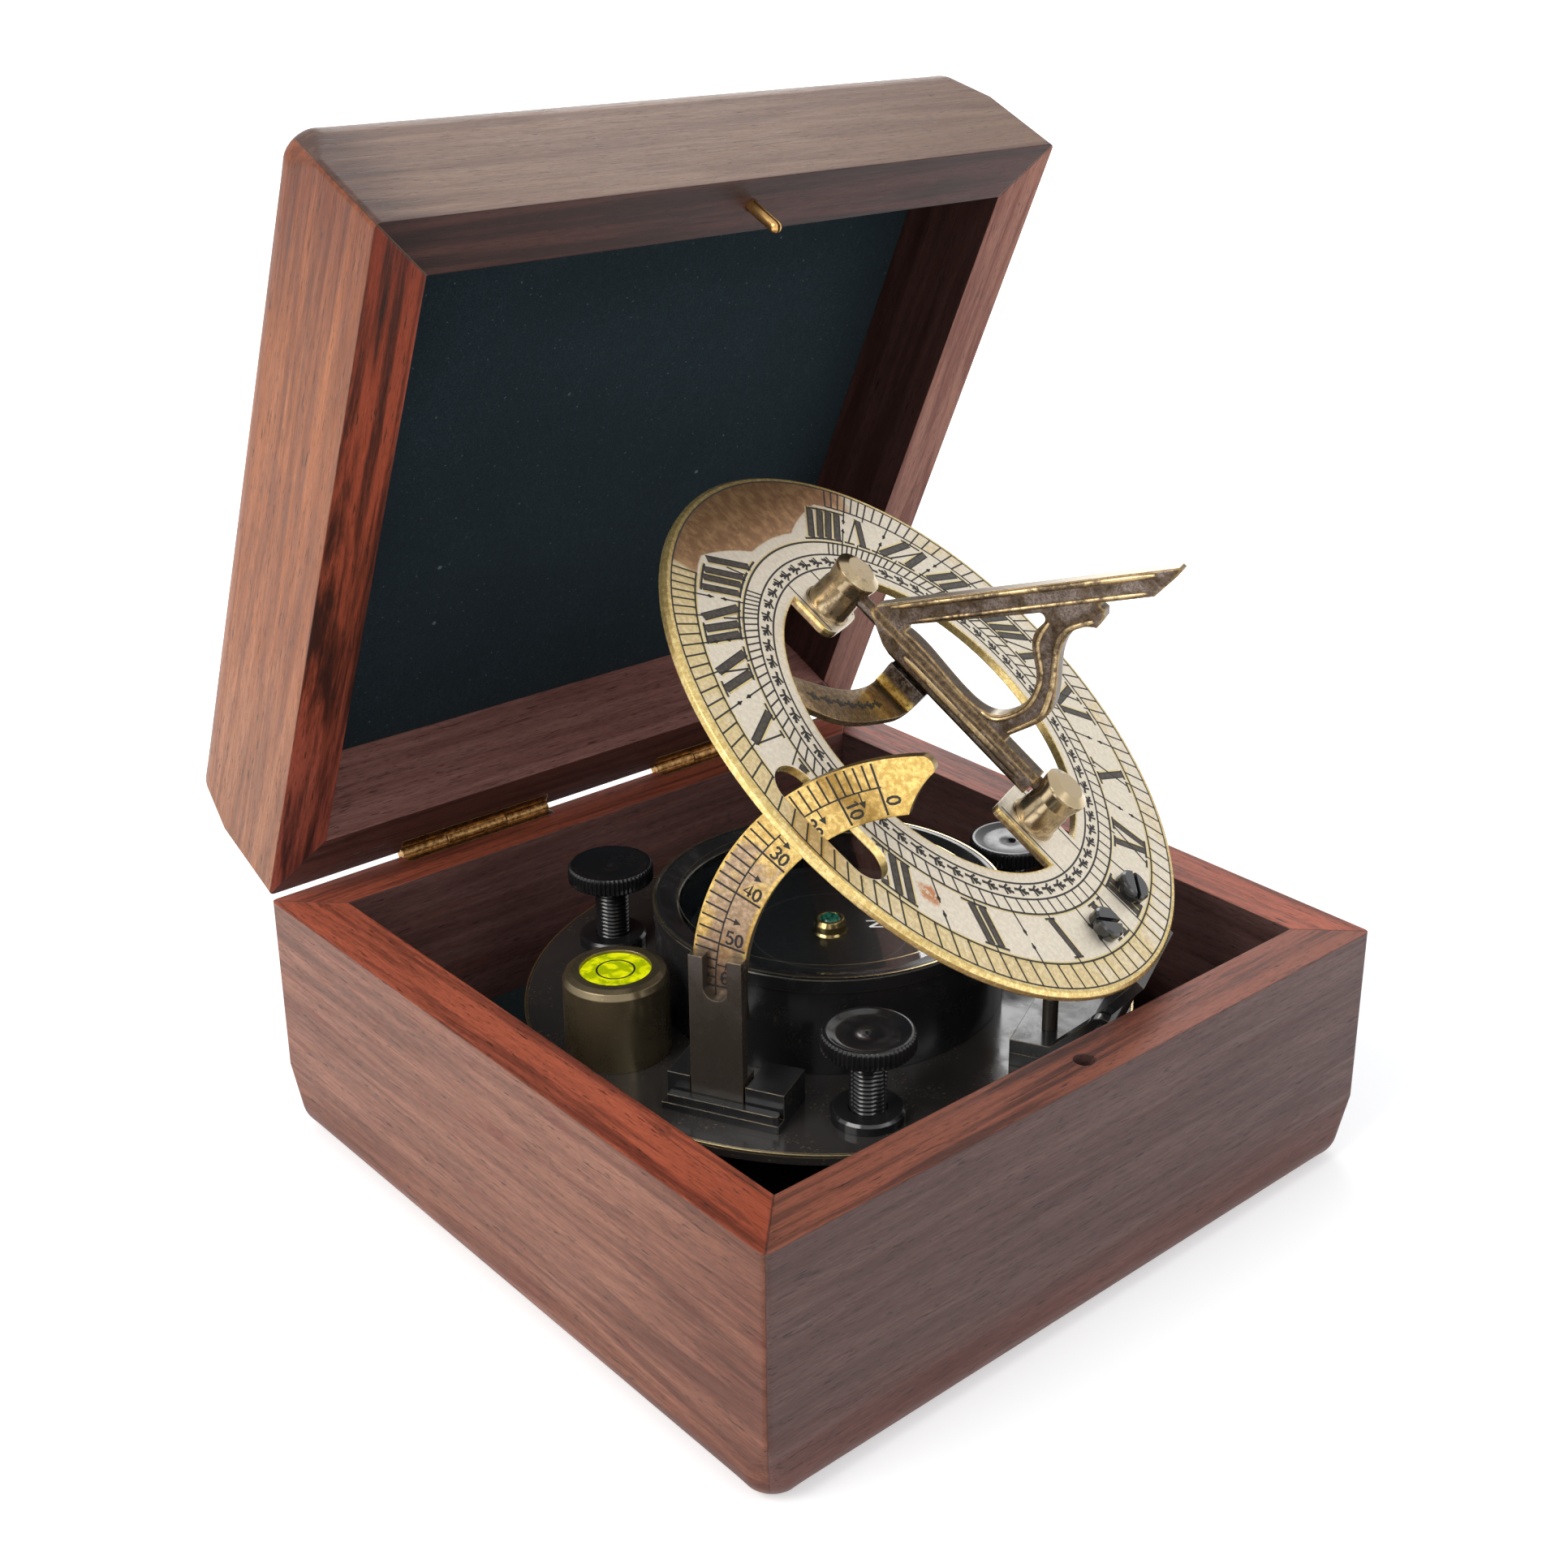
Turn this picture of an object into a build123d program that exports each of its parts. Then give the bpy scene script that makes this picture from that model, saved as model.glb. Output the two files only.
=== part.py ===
from build123d import *
import os
from math import cos, sin, radians

os.makedirs("parts", exist_ok=True)

# Frame: origin at the centre of the box bottom, X right along the hinge line, Y towards the hinge, Z up.
# All sizes in mm.

# Wooden case
CASE_W = 145.0
BASE_H = 48.0
LID_H = 31.2
WALL = 10.4
EDGE_R = 6.0
CORNER_R = 1.2
ROUND_R = 9.0
ROUND_H = 13.0
RIM_GAP = 0.4
FLOOR_T = 9.0
INSERT_T = 6.5
FELT_T = 1.0
LID_DEPTH = 20.0
LINING_GAP = 0.2

# Lid hinges
OPEN_ANGLE = 66.1
HINGE_Y = CASE_W / 2 + 0.6
HINGE_Z = BASE_H + RIM_GAP / 2
HINGE_CENTRES = (CASE_W * -0.189, CASE_W * 0.2386)
HINGE_L = 34.0
KNUCKLE_R = 1.2
KNUCKLE_BORE_R = 0.6
HINGE_PIN_R = 0.55
KNUCKLE_GAP = 0.3
MIDDLE_KNUCKLE_L = 13.6
LEAF_W = 2.8
LEAF_T = 0.8

# Latch
LATCH_PIN_R = 1.1
LATCH_PIN_OUT = 8.0
LATCH_PIN_IN = 7.0
LATCH_SOCKET_R = 1.9
LATCH_SOCKET_DEPTH = 10.5
LATCH_SPLIT = 0.5

# Instrument placing in the case; its own X points at dial north
INSTRUMENT = Location((2.4, -1.3, 0), (0, 0, -63.3))

# Base plate and levelling screws
PLATE_MARGIN = 5.1
PLATE_R = CASE_W / 2 - WALL - PLATE_MARGIN
PLATE_T = 2.0
PLATE_TOP = 33.6
FEET_RADIUS = PLATE_R - 11.3
FEET_ANGLES = (-60, 60, 180)
HEAD_R = 8.2
HEAD_T = 3.6
HEAD_TOP = 50.3
SHANK_R = 3.3
BOSS_R = 6.5
BOSS_T = 2.0
SCREW_CLEAR = 0.06

# Compass
DRUM_R = 32.5
DRUM_TOP = 50.0
DRUM_WALL = 3.5
DRUM_FLOOR = 2.0
BEZEL_R = 32.8
BEZEL_TOP = 52.9
BEZEL_BORE_R = 28.0
GLASS_R = 30.2
GLASS_T = 1.4
CARD_R = 26.5
CARD_T = 0.6
CARD_Z = 43.8
CAP_R = 3.1
CAP_H = 3.0
JEWEL_R = 2.0
PIVOT_R = 0.5
CAP_BORE_R = 0.9

# Bull's-eye level
LEVEL_FROM_CENTRE = PLATE_R - 13.0
LEVEL_ANGLE = -127.05
LEVEL_R = 9.4
LEVEL_TOP = 49.5
VIAL_R = 6.3
VIAL_DEPTH = 6.5
WINDOW_T = 0.9
WINDOW_DROP = 0.4

# Latitude arc
ARC_X = PLATE_R - 14.9
ARC_Z = 56.6
ARC_OUT_R = 48.4
ARC_W = 9.5
ARC_IN_R = ARC_OUT_R - ARC_W
ARC_Y = 12.4 - PLATE_R
ARC_T = 1.6
ARC_START = -8.0
ARC_END = 80.0
ARC_NOSE = 2.6
POST_T = 2.0
POST_TOP = 63.0
NOTCH_W = 4.4
NOTCH_Z = 55.2
FOOT_T = 1.4
FOOT_LEFT = 4.6
FOOT_RIGHT = 7.4
FOOT_BEHIND_ARC = 5.6
LUG_H = 4.6
ARC_PIN_R = 1.0
ARC_PIN_RISE = 3.0

# Tilting dial
DIAL_TILT = 40.3
DIAL_Y = -2.5
DIAL_HINGE_X = PLATE_R - 0.6
DIAL_HINGE_Z = 43.7
DIAL_REACH = DIAL_HINGE_X + 1.0
DIAL_RISE = 12.6
DIAL_R = PLATE_R
DIAL_T = 1.6
DIAL_OPEN_R = 32.6
TAB_HALF_W = 5.9
NORTH_POST_X = 24.5
SOUTH_POST_X = -27.6
NORTH_TAB_BEYOND = 6.4
SOUTH_TAB_BEYOND = 4.8
SLOT_X = -1.6
SLOT_Y = ARC_Y - ARC_T - DIAL_Y - 1.8
SLOT_L = 23.8
SLOT_W = 9.0
DIAL_SCREW_X = DIAL_R - 11.4
DIAL_SCREW_Y = 8.0
DIAL_SCREW_R = 1.5
DIAL_SCREW_CLEAR = 0.02
LEAF_PLATE_T = 1.6
LEAF_WEB_T = 1.8
BRACKET_L = 14.2
BRACKET_INSET = 2.0
BRACKET_HALF_W = 13.0
BRACKET_STEP = 2.6
EAR_R = 2.7
EAR_Y = 12.0
EAR_T = 2.0
BARREL_R = 2.4
DIAL_PIN_R = 1.2
PIVOT_CLEAR = 0.05
TONGUE_T = 1.2

# Gnomon
GNOMON_Y = 0.4
POST_R = 4.2
POST_H = 10.1
POST_WASHER_T = 0.3
POST_STEM_R = 1.8
POST_NUT_T = 1.3
GNOMON_AXIS_Z = 5.8
GNOMON_T = 3.0
GNOMON_BAR_T = 4.8
GNOMON_BAR_BOTTOM = 3.1
GNOMON_BAR_TOP = 7.5
GNOMON_FOOT_X = -21.2
JOURNAL_R = 1.3
CAM_X = -8.2
CAM_L = 8.1
CAM_HALF_W = 3.1
CAM_BOTTOM = -2.0

plate_bottom = PLATE_TOP - PLATE_T
half_w = CASE_W / 2
inner_half = half_w - WALL
lid_bottom = BASE_H + RIM_GAP
lid_top = lid_bottom + LID_H
felt_top = FLOOR_T + INSERT_T + FELT_T

LID_SWING = Location((0, HINGE_Y, HINGE_Z)) * Rot(-OPEN_ANGLE, 0, 0) * Location((0, -HINGE_Y, -HINGE_Z))
DIAL = INSTRUMENT * Pos(DIAL_HINGE_X, DIAL_Y, DIAL_HINGE_Z) * Rot(0, DIAL_TILT, 0) * Pos(-DIAL_REACH, 0, DIAL_RISE)
# The dial plate is fixed to its hinge leaf a little off centre and turned
DIAL_SEAT = Location((-0.7, 1.2, 0), (0, 0, -2.3))

nodes = {}


def disc(radius, height, z=0.0):
    return Pos(0, 0, z) * Cylinder(radius, height, align=(Align.CENTER, Align.CENTER, Align.MIN))


def block(x0, x1, y0, y1, z0, z1):
    size = Box(x1 - x0, y1 - y0, z1 - z0, align=(Align.MIN, Align.MIN, Align.MIN))
    return Pos(x0, y0, z0) * size


def rod_x(radius, x0, x1, y, z):
    return Pos(x0, y, z) * Rot(0, 90, 0) * Cylinder(radius, x1 - x0, align=(Align.CENTER, Align.CENTER, Align.MIN))


def rod_y(radius, y0, y1, x, z):
    return Pos(x, y0, z) * Rot(-90, 0, 0) * Cylinder(radius, y1 - y0, align=(Align.CENTER, Align.CENTER, Align.MIN))


def upright(profile, y0, y1):
    # an XZ outline given thickness from y0 to y1
    return Pos(0, y1, 0) * extrude(Plane.XZ * profile, y1 - y0)


def mitred_frame(z0, z1, rounded_top):
    # four mitred boards with one rounded outer rim, the corners growing rounder towards it
    rim_z = z1 if rounded_top else z0
    open_z = z0 if rounded_top else z1
    turn_z = rim_z - ROUND_H if rounded_top else rim_z + ROUND_H
    sharp = RectangleRounded(CASE_W, CASE_W, CORNER_R)
    body = loft([Pos(0, 0, rim_z) * RectangleRounded(CASE_W, CASE_W, ROUND_R), Pos(0, 0, turn_z) * sharp])
    body += extrude(Pos(0, 0, turn_z) * sharp, open_z - turn_z)
    rim_face = body.faces().sort_by(Axis.Z)[-1 if rounded_top else 0]
    body = fillet(rim_face.edges(), EDGE_R)
    body -= block(-inner_half, inner_half, -inner_half, inner_half, z0 - 1, z1 + 1)
    reach = CASE_W
    wedge = Polyline((0, 0), (-reach, -reach), (reach, -reach), (0, 0))
    wedge = Pos(0, 0, z0 - 1) * extrude(make_face(wedge), z1 - z0 + 2)
    boards = {}
    for side, turn in (("front", 0), ("right", 90), ("back", 180), ("left", 270)):
        boards[side] = body & (Rot(0, 0, turn) * wedge)
    return boards


def hinge_mortise(centre):
    # room in both rims for the leaves and the knuckle barrel
    x0 = centre - HINGE_L / 2
    x1 = centre + HINGE_L / 2
    barrel = rod_x(KNUCKLE_R + 0.2, x0 - 0.2, x1 + 0.2, HINGE_Y, HINGE_Z)
    leaves = block(x0, x1, half_w - LEAF_W, half_w + 1, BASE_H - LEAF_T, lid_bottom + LEAF_T)
    return barrel + leaves


def latch_socket():
    return Pos(0, -half_w + WALL / 2, BASE_H - LATCH_SOCKET_DEPTH) * disc(LATCH_SOCKET_R, LATCH_SOCKET_DEPTH + 1)


def base_case():
    boards = mitred_frame(0, BASE_H, False)
    for centre in HINGE_CENTRES:
        boards["back"] -= hinge_mortise(centre)
    boards["front"] -= latch_socket()
    for side, board in boards.items():
        nodes["base_wall_" + side] = board
    nodes["base_floor"] = block(-inner_half, inner_half, -inner_half, inner_half, 0, FLOOR_T)
    lining = inner_half - LINING_GAP
    nodes["base_insert"] = block(-lining, lining, -lining, lining, FLOOR_T, FLOOR_T + INSERT_T)
    nodes["base_felt"] = block(-lining, lining, -lining, lining, FLOOR_T + INSERT_T, felt_top)


def latch_pin():
    y = -half_w + WALL / 2
    total = LATCH_PIN_IN + LATCH_PIN_OUT
    pin = disc(LATCH_PIN_R, total - LATCH_PIN_R) + Pos(0, 0, 0) * Sphere(LATCH_PIN_R)
    split = block(-LATCH_SPLIT / 2, LATCH_SPLIT / 2, -3, 3, -3, LATCH_PIN_OUT - 1.0)
    return Pos(0, y, lid_bottom - LATCH_PIN_OUT + LATCH_PIN_R) * (pin - split)


def lid_case():
    boards = mitred_frame(lid_bottom, lid_top, True)
    for centre in HINGE_CENTRES:
        boards["back"] -= hinge_mortise(centre)
    pin_hole = Pos(0, -half_w + WALL / 2, lid_bottom - 1) * disc(LATCH_PIN_R + 0.02, LATCH_PIN_IN + 1)
    boards["front"] -= pin_hole
    for side, board in boards.items():
        nodes["lid_wall_" + side] = LID_SWING * board
    panel_z = lid_bottom + LID_DEPTH + FELT_T
    panel = block(-inner_half, inner_half, -inner_half, inner_half, panel_z, lid_top)
    lining = inner_half - LINING_GAP
    felt = block(-lining, lining, -lining, lining, panel_z - FELT_T, panel_z)
    nodes["lid_panel"] = LID_SWING * panel
    nodes["lid_felt"] = LID_SWING * felt
    nodes["latch_pin"] = LID_SWING * latch_pin()


def hinge_leaf(x0, x1, spans, z0):
    # flat leaf with its curled knuckles
    leaf = block(x0, x1, half_w - LEAF_W, half_w - 0.9, z0, z0 + LEAF_T)
    for a, b in spans:
        leaf += block(a, b, half_w - 1, HINGE_Y, z0, z0 + LEAF_T)
        leaf += rod_x(KNUCKLE_R, a, b, HINGE_Y, HINGE_Z)
    return leaf - rod_x(KNUCKLE_BORE_R, x0 - 1, x1 + 1, HINGE_Y, HINGE_Z)


def lid_hinges():
    for side, centre in zip(("left", "right"), HINGE_CENTRES):
        x0 = centre - HINGE_L / 2
        x1 = centre + HINGE_L / 2
        m0 = centre - MIDDLE_KNUCKLE_L / 2
        m1 = centre + MIDDLE_KNUCKLE_L / 2
        outer = [(x0, m0 - KNUCKLE_GAP), (m1 + KNUCKLE_GAP, x1)]
        nodes["hinge_base_leaf_" + side] = hinge_leaf(x0, x1, outer, BASE_H - LEAF_T)
        lid_leaf = hinge_leaf(x0, x1, [(m0, m1)], lid_bottom)
        nodes["hinge_lid_leaf_" + side] = LID_SWING * lid_leaf
        nodes["hinge_pin_" + side] = rod_x(HINGE_PIN_R, x0, x1, HINGE_Y, HINGE_Z)


def at_foot(angle):
    return Rot(0, 0, angle) * Pos(FEET_RADIUS, 0, 0)


def base_plate():
    plate = disc(PLATE_R, PLATE_T, plate_bottom)
    plate = chamfer(plate.edges().sort_by(Axis.Z)[-1], 0.5)
    for angle in FEET_ANGLES:
        plate -= at_foot(angle) * disc(SHANK_R + SCREW_CLEAR, 20, plate_bottom - 5)
    return plate


def boss():
    body = disc(BOSS_R, BOSS_T, PLATE_TOP)
    body = chamfer(body.edges().sort_by(Axis.Z)[-1], 0.5)
    return body - disc(SHANK_R + SCREW_CLEAR, 20, PLATE_TOP - 5)


def levelling_screw():
    head_bottom = HEAD_TOP - HEAD_T
    outline = Polyline(
        (0, felt_top), (1.2, felt_top), (SHANK_R, felt_top + 3.0), (SHANK_R, head_bottom - 1.0),
        (4.8, head_bottom), (HEAD_R - 0.8, head_bottom), (HEAD_R, head_bottom + 0.7), (HEAD_R, HEAD_TOP - 0.5),
        (HEAD_R - 0.9, HEAD_TOP), (HEAD_R - 2.2, HEAD_TOP - 0.7), (0, HEAD_TOP - 0.7), (0, felt_top),
    )
    return revolve(make_face(Plane.XZ * outline), Axis.Z)


def compass():
    bowl = disc(DRUM_R, DRUM_TOP - PLATE_TOP, PLATE_TOP)
    bowl -= disc(DRUM_R - DRUM_WALL, DRUM_TOP, PLATE_TOP + DRUM_FLOOR)
    nodes["compass_bowl"] = INSTRUMENT * bowl
    glass_top = DRUM_TOP + GLASS_T
    ring = Polyline(
        (GLASS_R + 0.1, DRUM_TOP), (BEZEL_R, DRUM_TOP), (BEZEL_R, BEZEL_TOP - 0.5), (BEZEL_R - 0.6, BEZEL_TOP),
        (BEZEL_R - 1.4, BEZEL_TOP), (BEZEL_BORE_R, glass_top), (GLASS_R + 0.1, glass_top), (GLASS_R + 0.1, DRUM_TOP),
    )
    nodes["compass_bezel"] = INSTRUMENT * revolve(make_face(Plane.XZ * ring), Axis.Z)
    nodes["compass_glass"] = INSTRUMENT * disc(GLASS_R, GLASS_T, DRUM_TOP)
    tip_z = CARD_Z + CAP_H - 1.0
    needle = Polyline(
        (0, PLATE_TOP + DRUM_FLOOR), (3.0, PLATE_TOP + DRUM_FLOOR), (2.4, PLATE_TOP + DRUM_FLOOR + 1.0),
        (PIVOT_R, PLATE_TOP + DRUM_FLOOR + 1.0), (PIVOT_R, tip_z - 0.8), (0, tip_z), (0, PLATE_TOP + DRUM_FLOOR),
    )
    nodes["compass_pivot"] = INSTRUMENT * revolve(make_face(Plane.XZ * needle), Axis.Z)
    card = disc(CARD_R, CARD_T, CARD_Z - CARD_T) - disc(CAP_BORE_R, 5, CARD_Z - 3)
    nodes["compass_card"] = INSTRUMENT * card
    magnet = block(-20, 20, -2.5, 2.5, CARD_Z - CARD_T - 1.4, CARD_Z - CARD_T) - disc(CAP_BORE_R, 5, CARD_Z - 4)
    nodes["compass_magnet"] = INSTRUMENT * magnet
    cap = Polyline(
        (CAP_BORE_R, CARD_Z), (CAP_R + 0.4, CARD_Z), (CAP_R, CARD_Z + 0.6), (CAP_R, CARD_Z + 1.8),
        (CAP_R - 0.5, CARD_Z + CAP_H - 0.3), (JEWEL_R, CARD_Z + CAP_H - 0.3),
        (JEWEL_R, tip_z + 0.02), (0.4, tip_z + 0.02), (CAP_BORE_R, tip_z - 0.7), (CAP_BORE_R, CARD_Z),
    )
    nodes["card_cap"] = INSTRUMENT * revolve(make_face(Plane.XZ * cap), Axis.Z)
    jewel = disc(JEWEL_R, 0.9, tip_z + 0.02)
    jewel = chamfer(jewel.edges().sort_by(Axis.Z)[-1], 0.4)
    nodes["card_jewel"] = INSTRUMENT * jewel


def level():
    place = INSTRUMENT * Rot(0, 0, LEVEL_ANGLE) * Pos(LEVEL_FROM_CENTRE, 0, 0)
    outline = Polyline(
        (0, PLATE_TOP), (LEVEL_R, PLATE_TOP), (LEVEL_R, LEVEL_TOP - 1.6), (LEVEL_R - 0.5, LEVEL_TOP - 0.5),
        (LEVEL_R - 1.6, LEVEL_TOP), (0, LEVEL_TOP), (0, PLATE_TOP),
    )
    body = revolve(make_face(Plane.XZ * outline), Axis.Z)
    vial_bottom = LEVEL_TOP - VIAL_DEPTH
    window_bottom = LEVEL_TOP - WINDOW_DROP - WINDOW_T
    body -= disc(VIAL_R + 0.05, VIAL_DEPTH + 1, vial_bottom)
    nodes["level_body"] = place * body
    nodes["level_liquid"] = place * disc(VIAL_R, window_bottom - vial_bottom, vial_bottom)
    lens = disc(VIAL_R, WINDOW_T, window_bottom)
    nodes["level_window"] = place * chamfer(lens.edges().sort_by(Axis.Z)[-1], 0.3)


def latitude_arc():
    def at(radius, angle):
        return (ARC_X - radius * cos(radians(angle)), ARC_Z + radius * sin(radians(angle)))

    mid = (ARC_START + ARC_END) / 2
    tip_in = ARC_END - 5.5
    outer = ThreePointArc(at(ARC_OUT_R, ARC_START), at(ARC_OUT_R, mid), at(ARC_OUT_R, ARC_END))
    inner = ThreePointArc(at(ARC_IN_R, tip_in), at(ARC_IN_R, (ARC_START + tip_in) / 2), at(ARC_IN_R, ARC_START))
    hollow = at((ARC_OUT_R + ARC_IN_R) / 2 - 0.5, ARC_END - 1.4)
    nose_end = at(ARC_OUT_R - ARC_NOSE, ARC_END + 2.0)
    nose = ThreePointArc(at(ARC_OUT_R, ARC_END), at(ARC_OUT_R - ARC_NOSE * 0.35, ARC_END + 1.7), nose_end)
    cusp = ThreePointArc(nose_end, hollow, at(ARC_IN_R, tip_in))
    heel = Line(at(ARC_IN_R, ARC_START), at(ARC_OUT_R, ARC_START))
    face = make_face([outer, nose, cusp, inner, heel])
    nodes["latitude_arc"] = INSTRUMENT * upright(face, ARC_Y - ARC_T, ARC_Y)


def arc_stand():
    x0 = ARC_X - ARC_OUT_R + 0.4
    x1 = ARC_X - ARC_IN_R + 0.5
    y_back = ARC_Y - ARC_T
    y_front = y_back - POST_T
    foot_top = PLATE_TOP + FOOT_T
    pin_y = y_back + 0.4
    pin_z = foot_top + ARC_PIN_RISE
    notch_bottom = NOTCH_Z + NOTCH_W / 2
    mid = (x0 + x1) / 2
    post = block(x0, x1, y_front, y_back, foot_top, POST_TOP)
    post -= block(mid - NOTCH_W / 2, mid + NOTCH_W / 2, y_front - 1, y_back + 1, notch_bottom, POST_TOP + 1)
    post -= rod_y(NOTCH_W / 2, y_front - 1, y_back + 1, mid, notch_bottom)
    post += block(x0, x1, y_back, pin_y + 2.2, foot_top, foot_top + LUG_H + 0.8)
    post -= rod_x(ARC_PIN_R + PIVOT_CLEAR, x0 - 1, x1 + 1, pin_y, pin_z)
    nodes["arc_post"] = INSTRUMENT * post
    left = x0 - FOOT_LEFT
    right = x1 + FOOT_RIGHT
    y_inner = ARC_Y + FOOT_BEHIND_ARC
    foot = block(left, right, y_front - 2.2, y_inner, PLATE_TOP, foot_top)
    foot += block(left, x0 - 0.3, pin_y - 2.2, y_inner, foot_top, foot_top + LUG_H)
    foot += block(x1 + 0.3, right, pin_y - 2.2, y_inner, foot_top, foot_top + LUG_H)
    foot -= rod_x(ARC_PIN_R + 0.02, left - 1, right + 1, pin_y, pin_z)
    nodes["arc_foot"] = INSTRUMENT * foot
    nodes["arc_pivot_pin"] = INSTRUMENT * rod_x(ARC_PIN_R, left, right, pin_y, pin_z)
    bar = block(left + 1.0, right - 1.2, y_front - 2.0, y_front - 0.2, foot_top, foot_top + 1.6)
    bar += Pos(right - 1.2, y_front - 1.1, 0) * disc(0.9, 1.6, foot_top)
    nodes["arc_stop_bar"] = INSTRUMENT * bar


def dial_bracket():
    mid_z = PLATE_TOP + BRACKET_STEP
    top_z = mid_z + BRACKET_STEP
    x1 = DIAL_HINGE_X - BRACKET_INSET
    x0 = x1 - BRACKET_L
    ear_x = x1 - 7.9
    y0 = DIAL_Y - BRACKET_HALF_W
    y1 = DIAL_Y + BRACKET_HALF_W
    nodes["bracket_base"] = INSTRUMENT * block(x0, x1, y0, y1, PLATE_TOP, mid_z)
    bracket = block(x0, x1, y0, y1, mid_z, top_z)
    ear = Polyline((ear_x, top_z - 1), (x1, top_z - 1), (DIAL_HINGE_X + EAR_R * 0.9, DIAL_HINGE_Z - 1.2),
                   (DIAL_HINGE_X - EAR_R * 0.6, DIAL_HINGE_Z + EAR_R * 0.75), (ear_x, top_z - 1))
    ear = make_face(ear) + Pos(DIAL_HINGE_X, DIAL_HINGE_Z) * Circle(EAR_R)
    for side in (-1, 1):
        y = DIAL_Y + side * EAR_Y
        bracket += upright(ear, y - EAR_T / 2, y + EAR_T / 2)
    bracket -= rod_y(DIAL_PIN_R + 0.02, y0 - 1, y1 + 1, DIAL_HINGE_X, DIAL_HINGE_Z)
    nodes["dial_bracket"] = INSTRUMENT * bracket
    pin = rod_y(DIAL_PIN_R, y0 - 0.6, y1 + 0.6, DIAL_HINGE_X, DIAL_HINGE_Z)
    nodes["dial_hinge_pin"] = INSTRUMENT * pin
    stud = Pos(x0 + 5.4, DIAL_Y - BRACKET_HALF_W / 2, 0) * disc(1.4, 6.6, top_z)
    stud = chamfer(stud.edges().sort_by(Axis.Z)[-1], 0.4)
    nodes["bracket_stud"] = INSTRUMENT * stud


def dial_leaf():
    barrel_x = DIAL_REACH
    barrel_z = -DIAL_RISE
    half = EAR_Y - EAR_T / 2 - 0.3
    leaf = rod_y(BARREL_R, -half, half, barrel_x, barrel_z)
    web_x = barrel_x - BARREL_R
    leaf += block(web_x, web_x + LEAF_WEB_T, -half, half, barrel_z, -DIAL_T)
    leaf += block(DIAL_SCREW_X - 4.0, web_x + LEAF_WEB_T, -half, half, -DIAL_T - LEAF_PLATE_T, -DIAL_T)
    leaf -= rod_y(DIAL_PIN_R + PIVOT_CLEAR, -half - 1, half + 1, barrel_x, barrel_z)
    return leaf - screw_holes()


def screw_place(side):
    return DIAL_SEAT * Pos(DIAL_SCREW_X, side * DIAL_SCREW_Y, 0)


def screw_holes():
    hole = disc(DIAL_SCREW_R + DIAL_SCREW_CLEAR, 12, -8)
    return screw_place(-1) * hole + screw_place(1) * hole


def dial_screw(side):
    head = chamfer(disc(3.1, 2.2).edges().sort_by(Axis.Z)[-1], 0.4)
    head -= block(-0.45, 0.45, -4, 4, 1.2, 3)
    head += disc(DIAL_SCREW_R, DIAL_T + LEAF_PLATE_T, -DIAL_T - LEAF_PLATE_T)
    return screw_place(side) * Rot(0, 0, 35 * side) * head


def tongue():
    # spring tongue cut from the dial, bent down under the cam and up again at its end
    north = Spline((-16.6, -28.6), (-10.0, -21.5), (-6.6, -12.0), (-4.6, -3.0), (-4.4, 6.0))
    south = Spline((-12.9, 6.0), (-12.3, -3.0), (-13.8, -11.4), (-18.2, -19.9), (-22.6, -25.4))
    end = Line((-4.4, 6.0), (-12.9, 6.0))
    root = Polyline((-22.6, -25.4), (-23.6, -26.6), (-17.8, -30.6), (-16.6, -28.6))
    strip = Pos(0, 0, -6) * extrude(make_face([north, end, south, root]), 6)
    bend = ((-32, -0.1), (-26, -0.1), (-8, -2.1), (-3.6, -2.7), (3.0, -2.7), (6.2, -1.2))
    under = [(y, z - TONGUE_T) for y, z in reversed(bend)]
    side = make_face(Polyline(*bend, *under, bend[0]))
    return strip & (Pos(-30, 0, 0) * extrude(Plane.YZ * side, 30))


def tab(x0, x1, end_x, radius):
    # land left across the opening for a gnomon post
    land = block(x0, x1, GNOMON_Y - TAB_HALF_W, GNOMON_Y + TAB_HALF_W, -4, 4)
    corners = land.edges().filter_by(Axis.Z).filter_by_position(Axis.X, end_x - 0.1, end_x + 0.1)
    return fillet(corners, radius)


def dial_plate():
    plate = disc(DIAL_R, DIAL_T, -DIAL_T)
    plate = chamfer(plate.edges().sort_by(Axis.Z)[-1], 0.6)
    beyond = DIAL_OPEN_R + 8
    north_end = NORTH_POST_X - NORTH_TAB_BEYOND
    south_end = SOUTH_POST_X + SOUTH_TAB_BEYOND
    opening = disc(DIAL_OPEN_R, 6, -3)
    opening -= tab(north_end, beyond, north_end, 1.5)
    opening -= tab(-beyond, south_end, south_end, 2.5)
    plate -= opening
    plate += tongue()
    for x in (NORTH_POST_X, SOUTH_POST_X):
        plate -= Pos(x, GNOMON_Y, 0) * disc(POST_STEM_R + 0.02, 8, -4)
    plate = DIAL_SEAT * plate
    plate -= extrude(Pos(SLOT_X, SLOT_Y) * SlotOverall(SLOT_L, SLOT_W), 6, both=True)
    return plate - screw_holes()


def gnomon_post(x):
    stem_end = -DIAL_T - POST_NUT_T
    outline = Polyline(
        (0, stem_end), (POST_STEM_R, stem_end), (POST_STEM_R, 0), (POST_R + 0.3, 0), (POST_R + 0.3, POST_WASHER_T),
        (POST_R, POST_WASHER_T), (POST_R - 0.3, POST_H * 0.6), (POST_R + 0.2, POST_H - 1.4),
        (POST_R + 0.2, POST_H - 0.9), (POST_R - 1.5, POST_H), (0, POST_H), (0, stem_end),
    )
    post = revolve(make_face(Plane.XZ * outline), Axis.Z)
    return Pos(x, GNOMON_Y, 0) * (post - rod_x(JOURNAL_R + PIVOT_CLEAR, -5, 5, 0, GNOMON_AXIS_Z))


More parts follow.
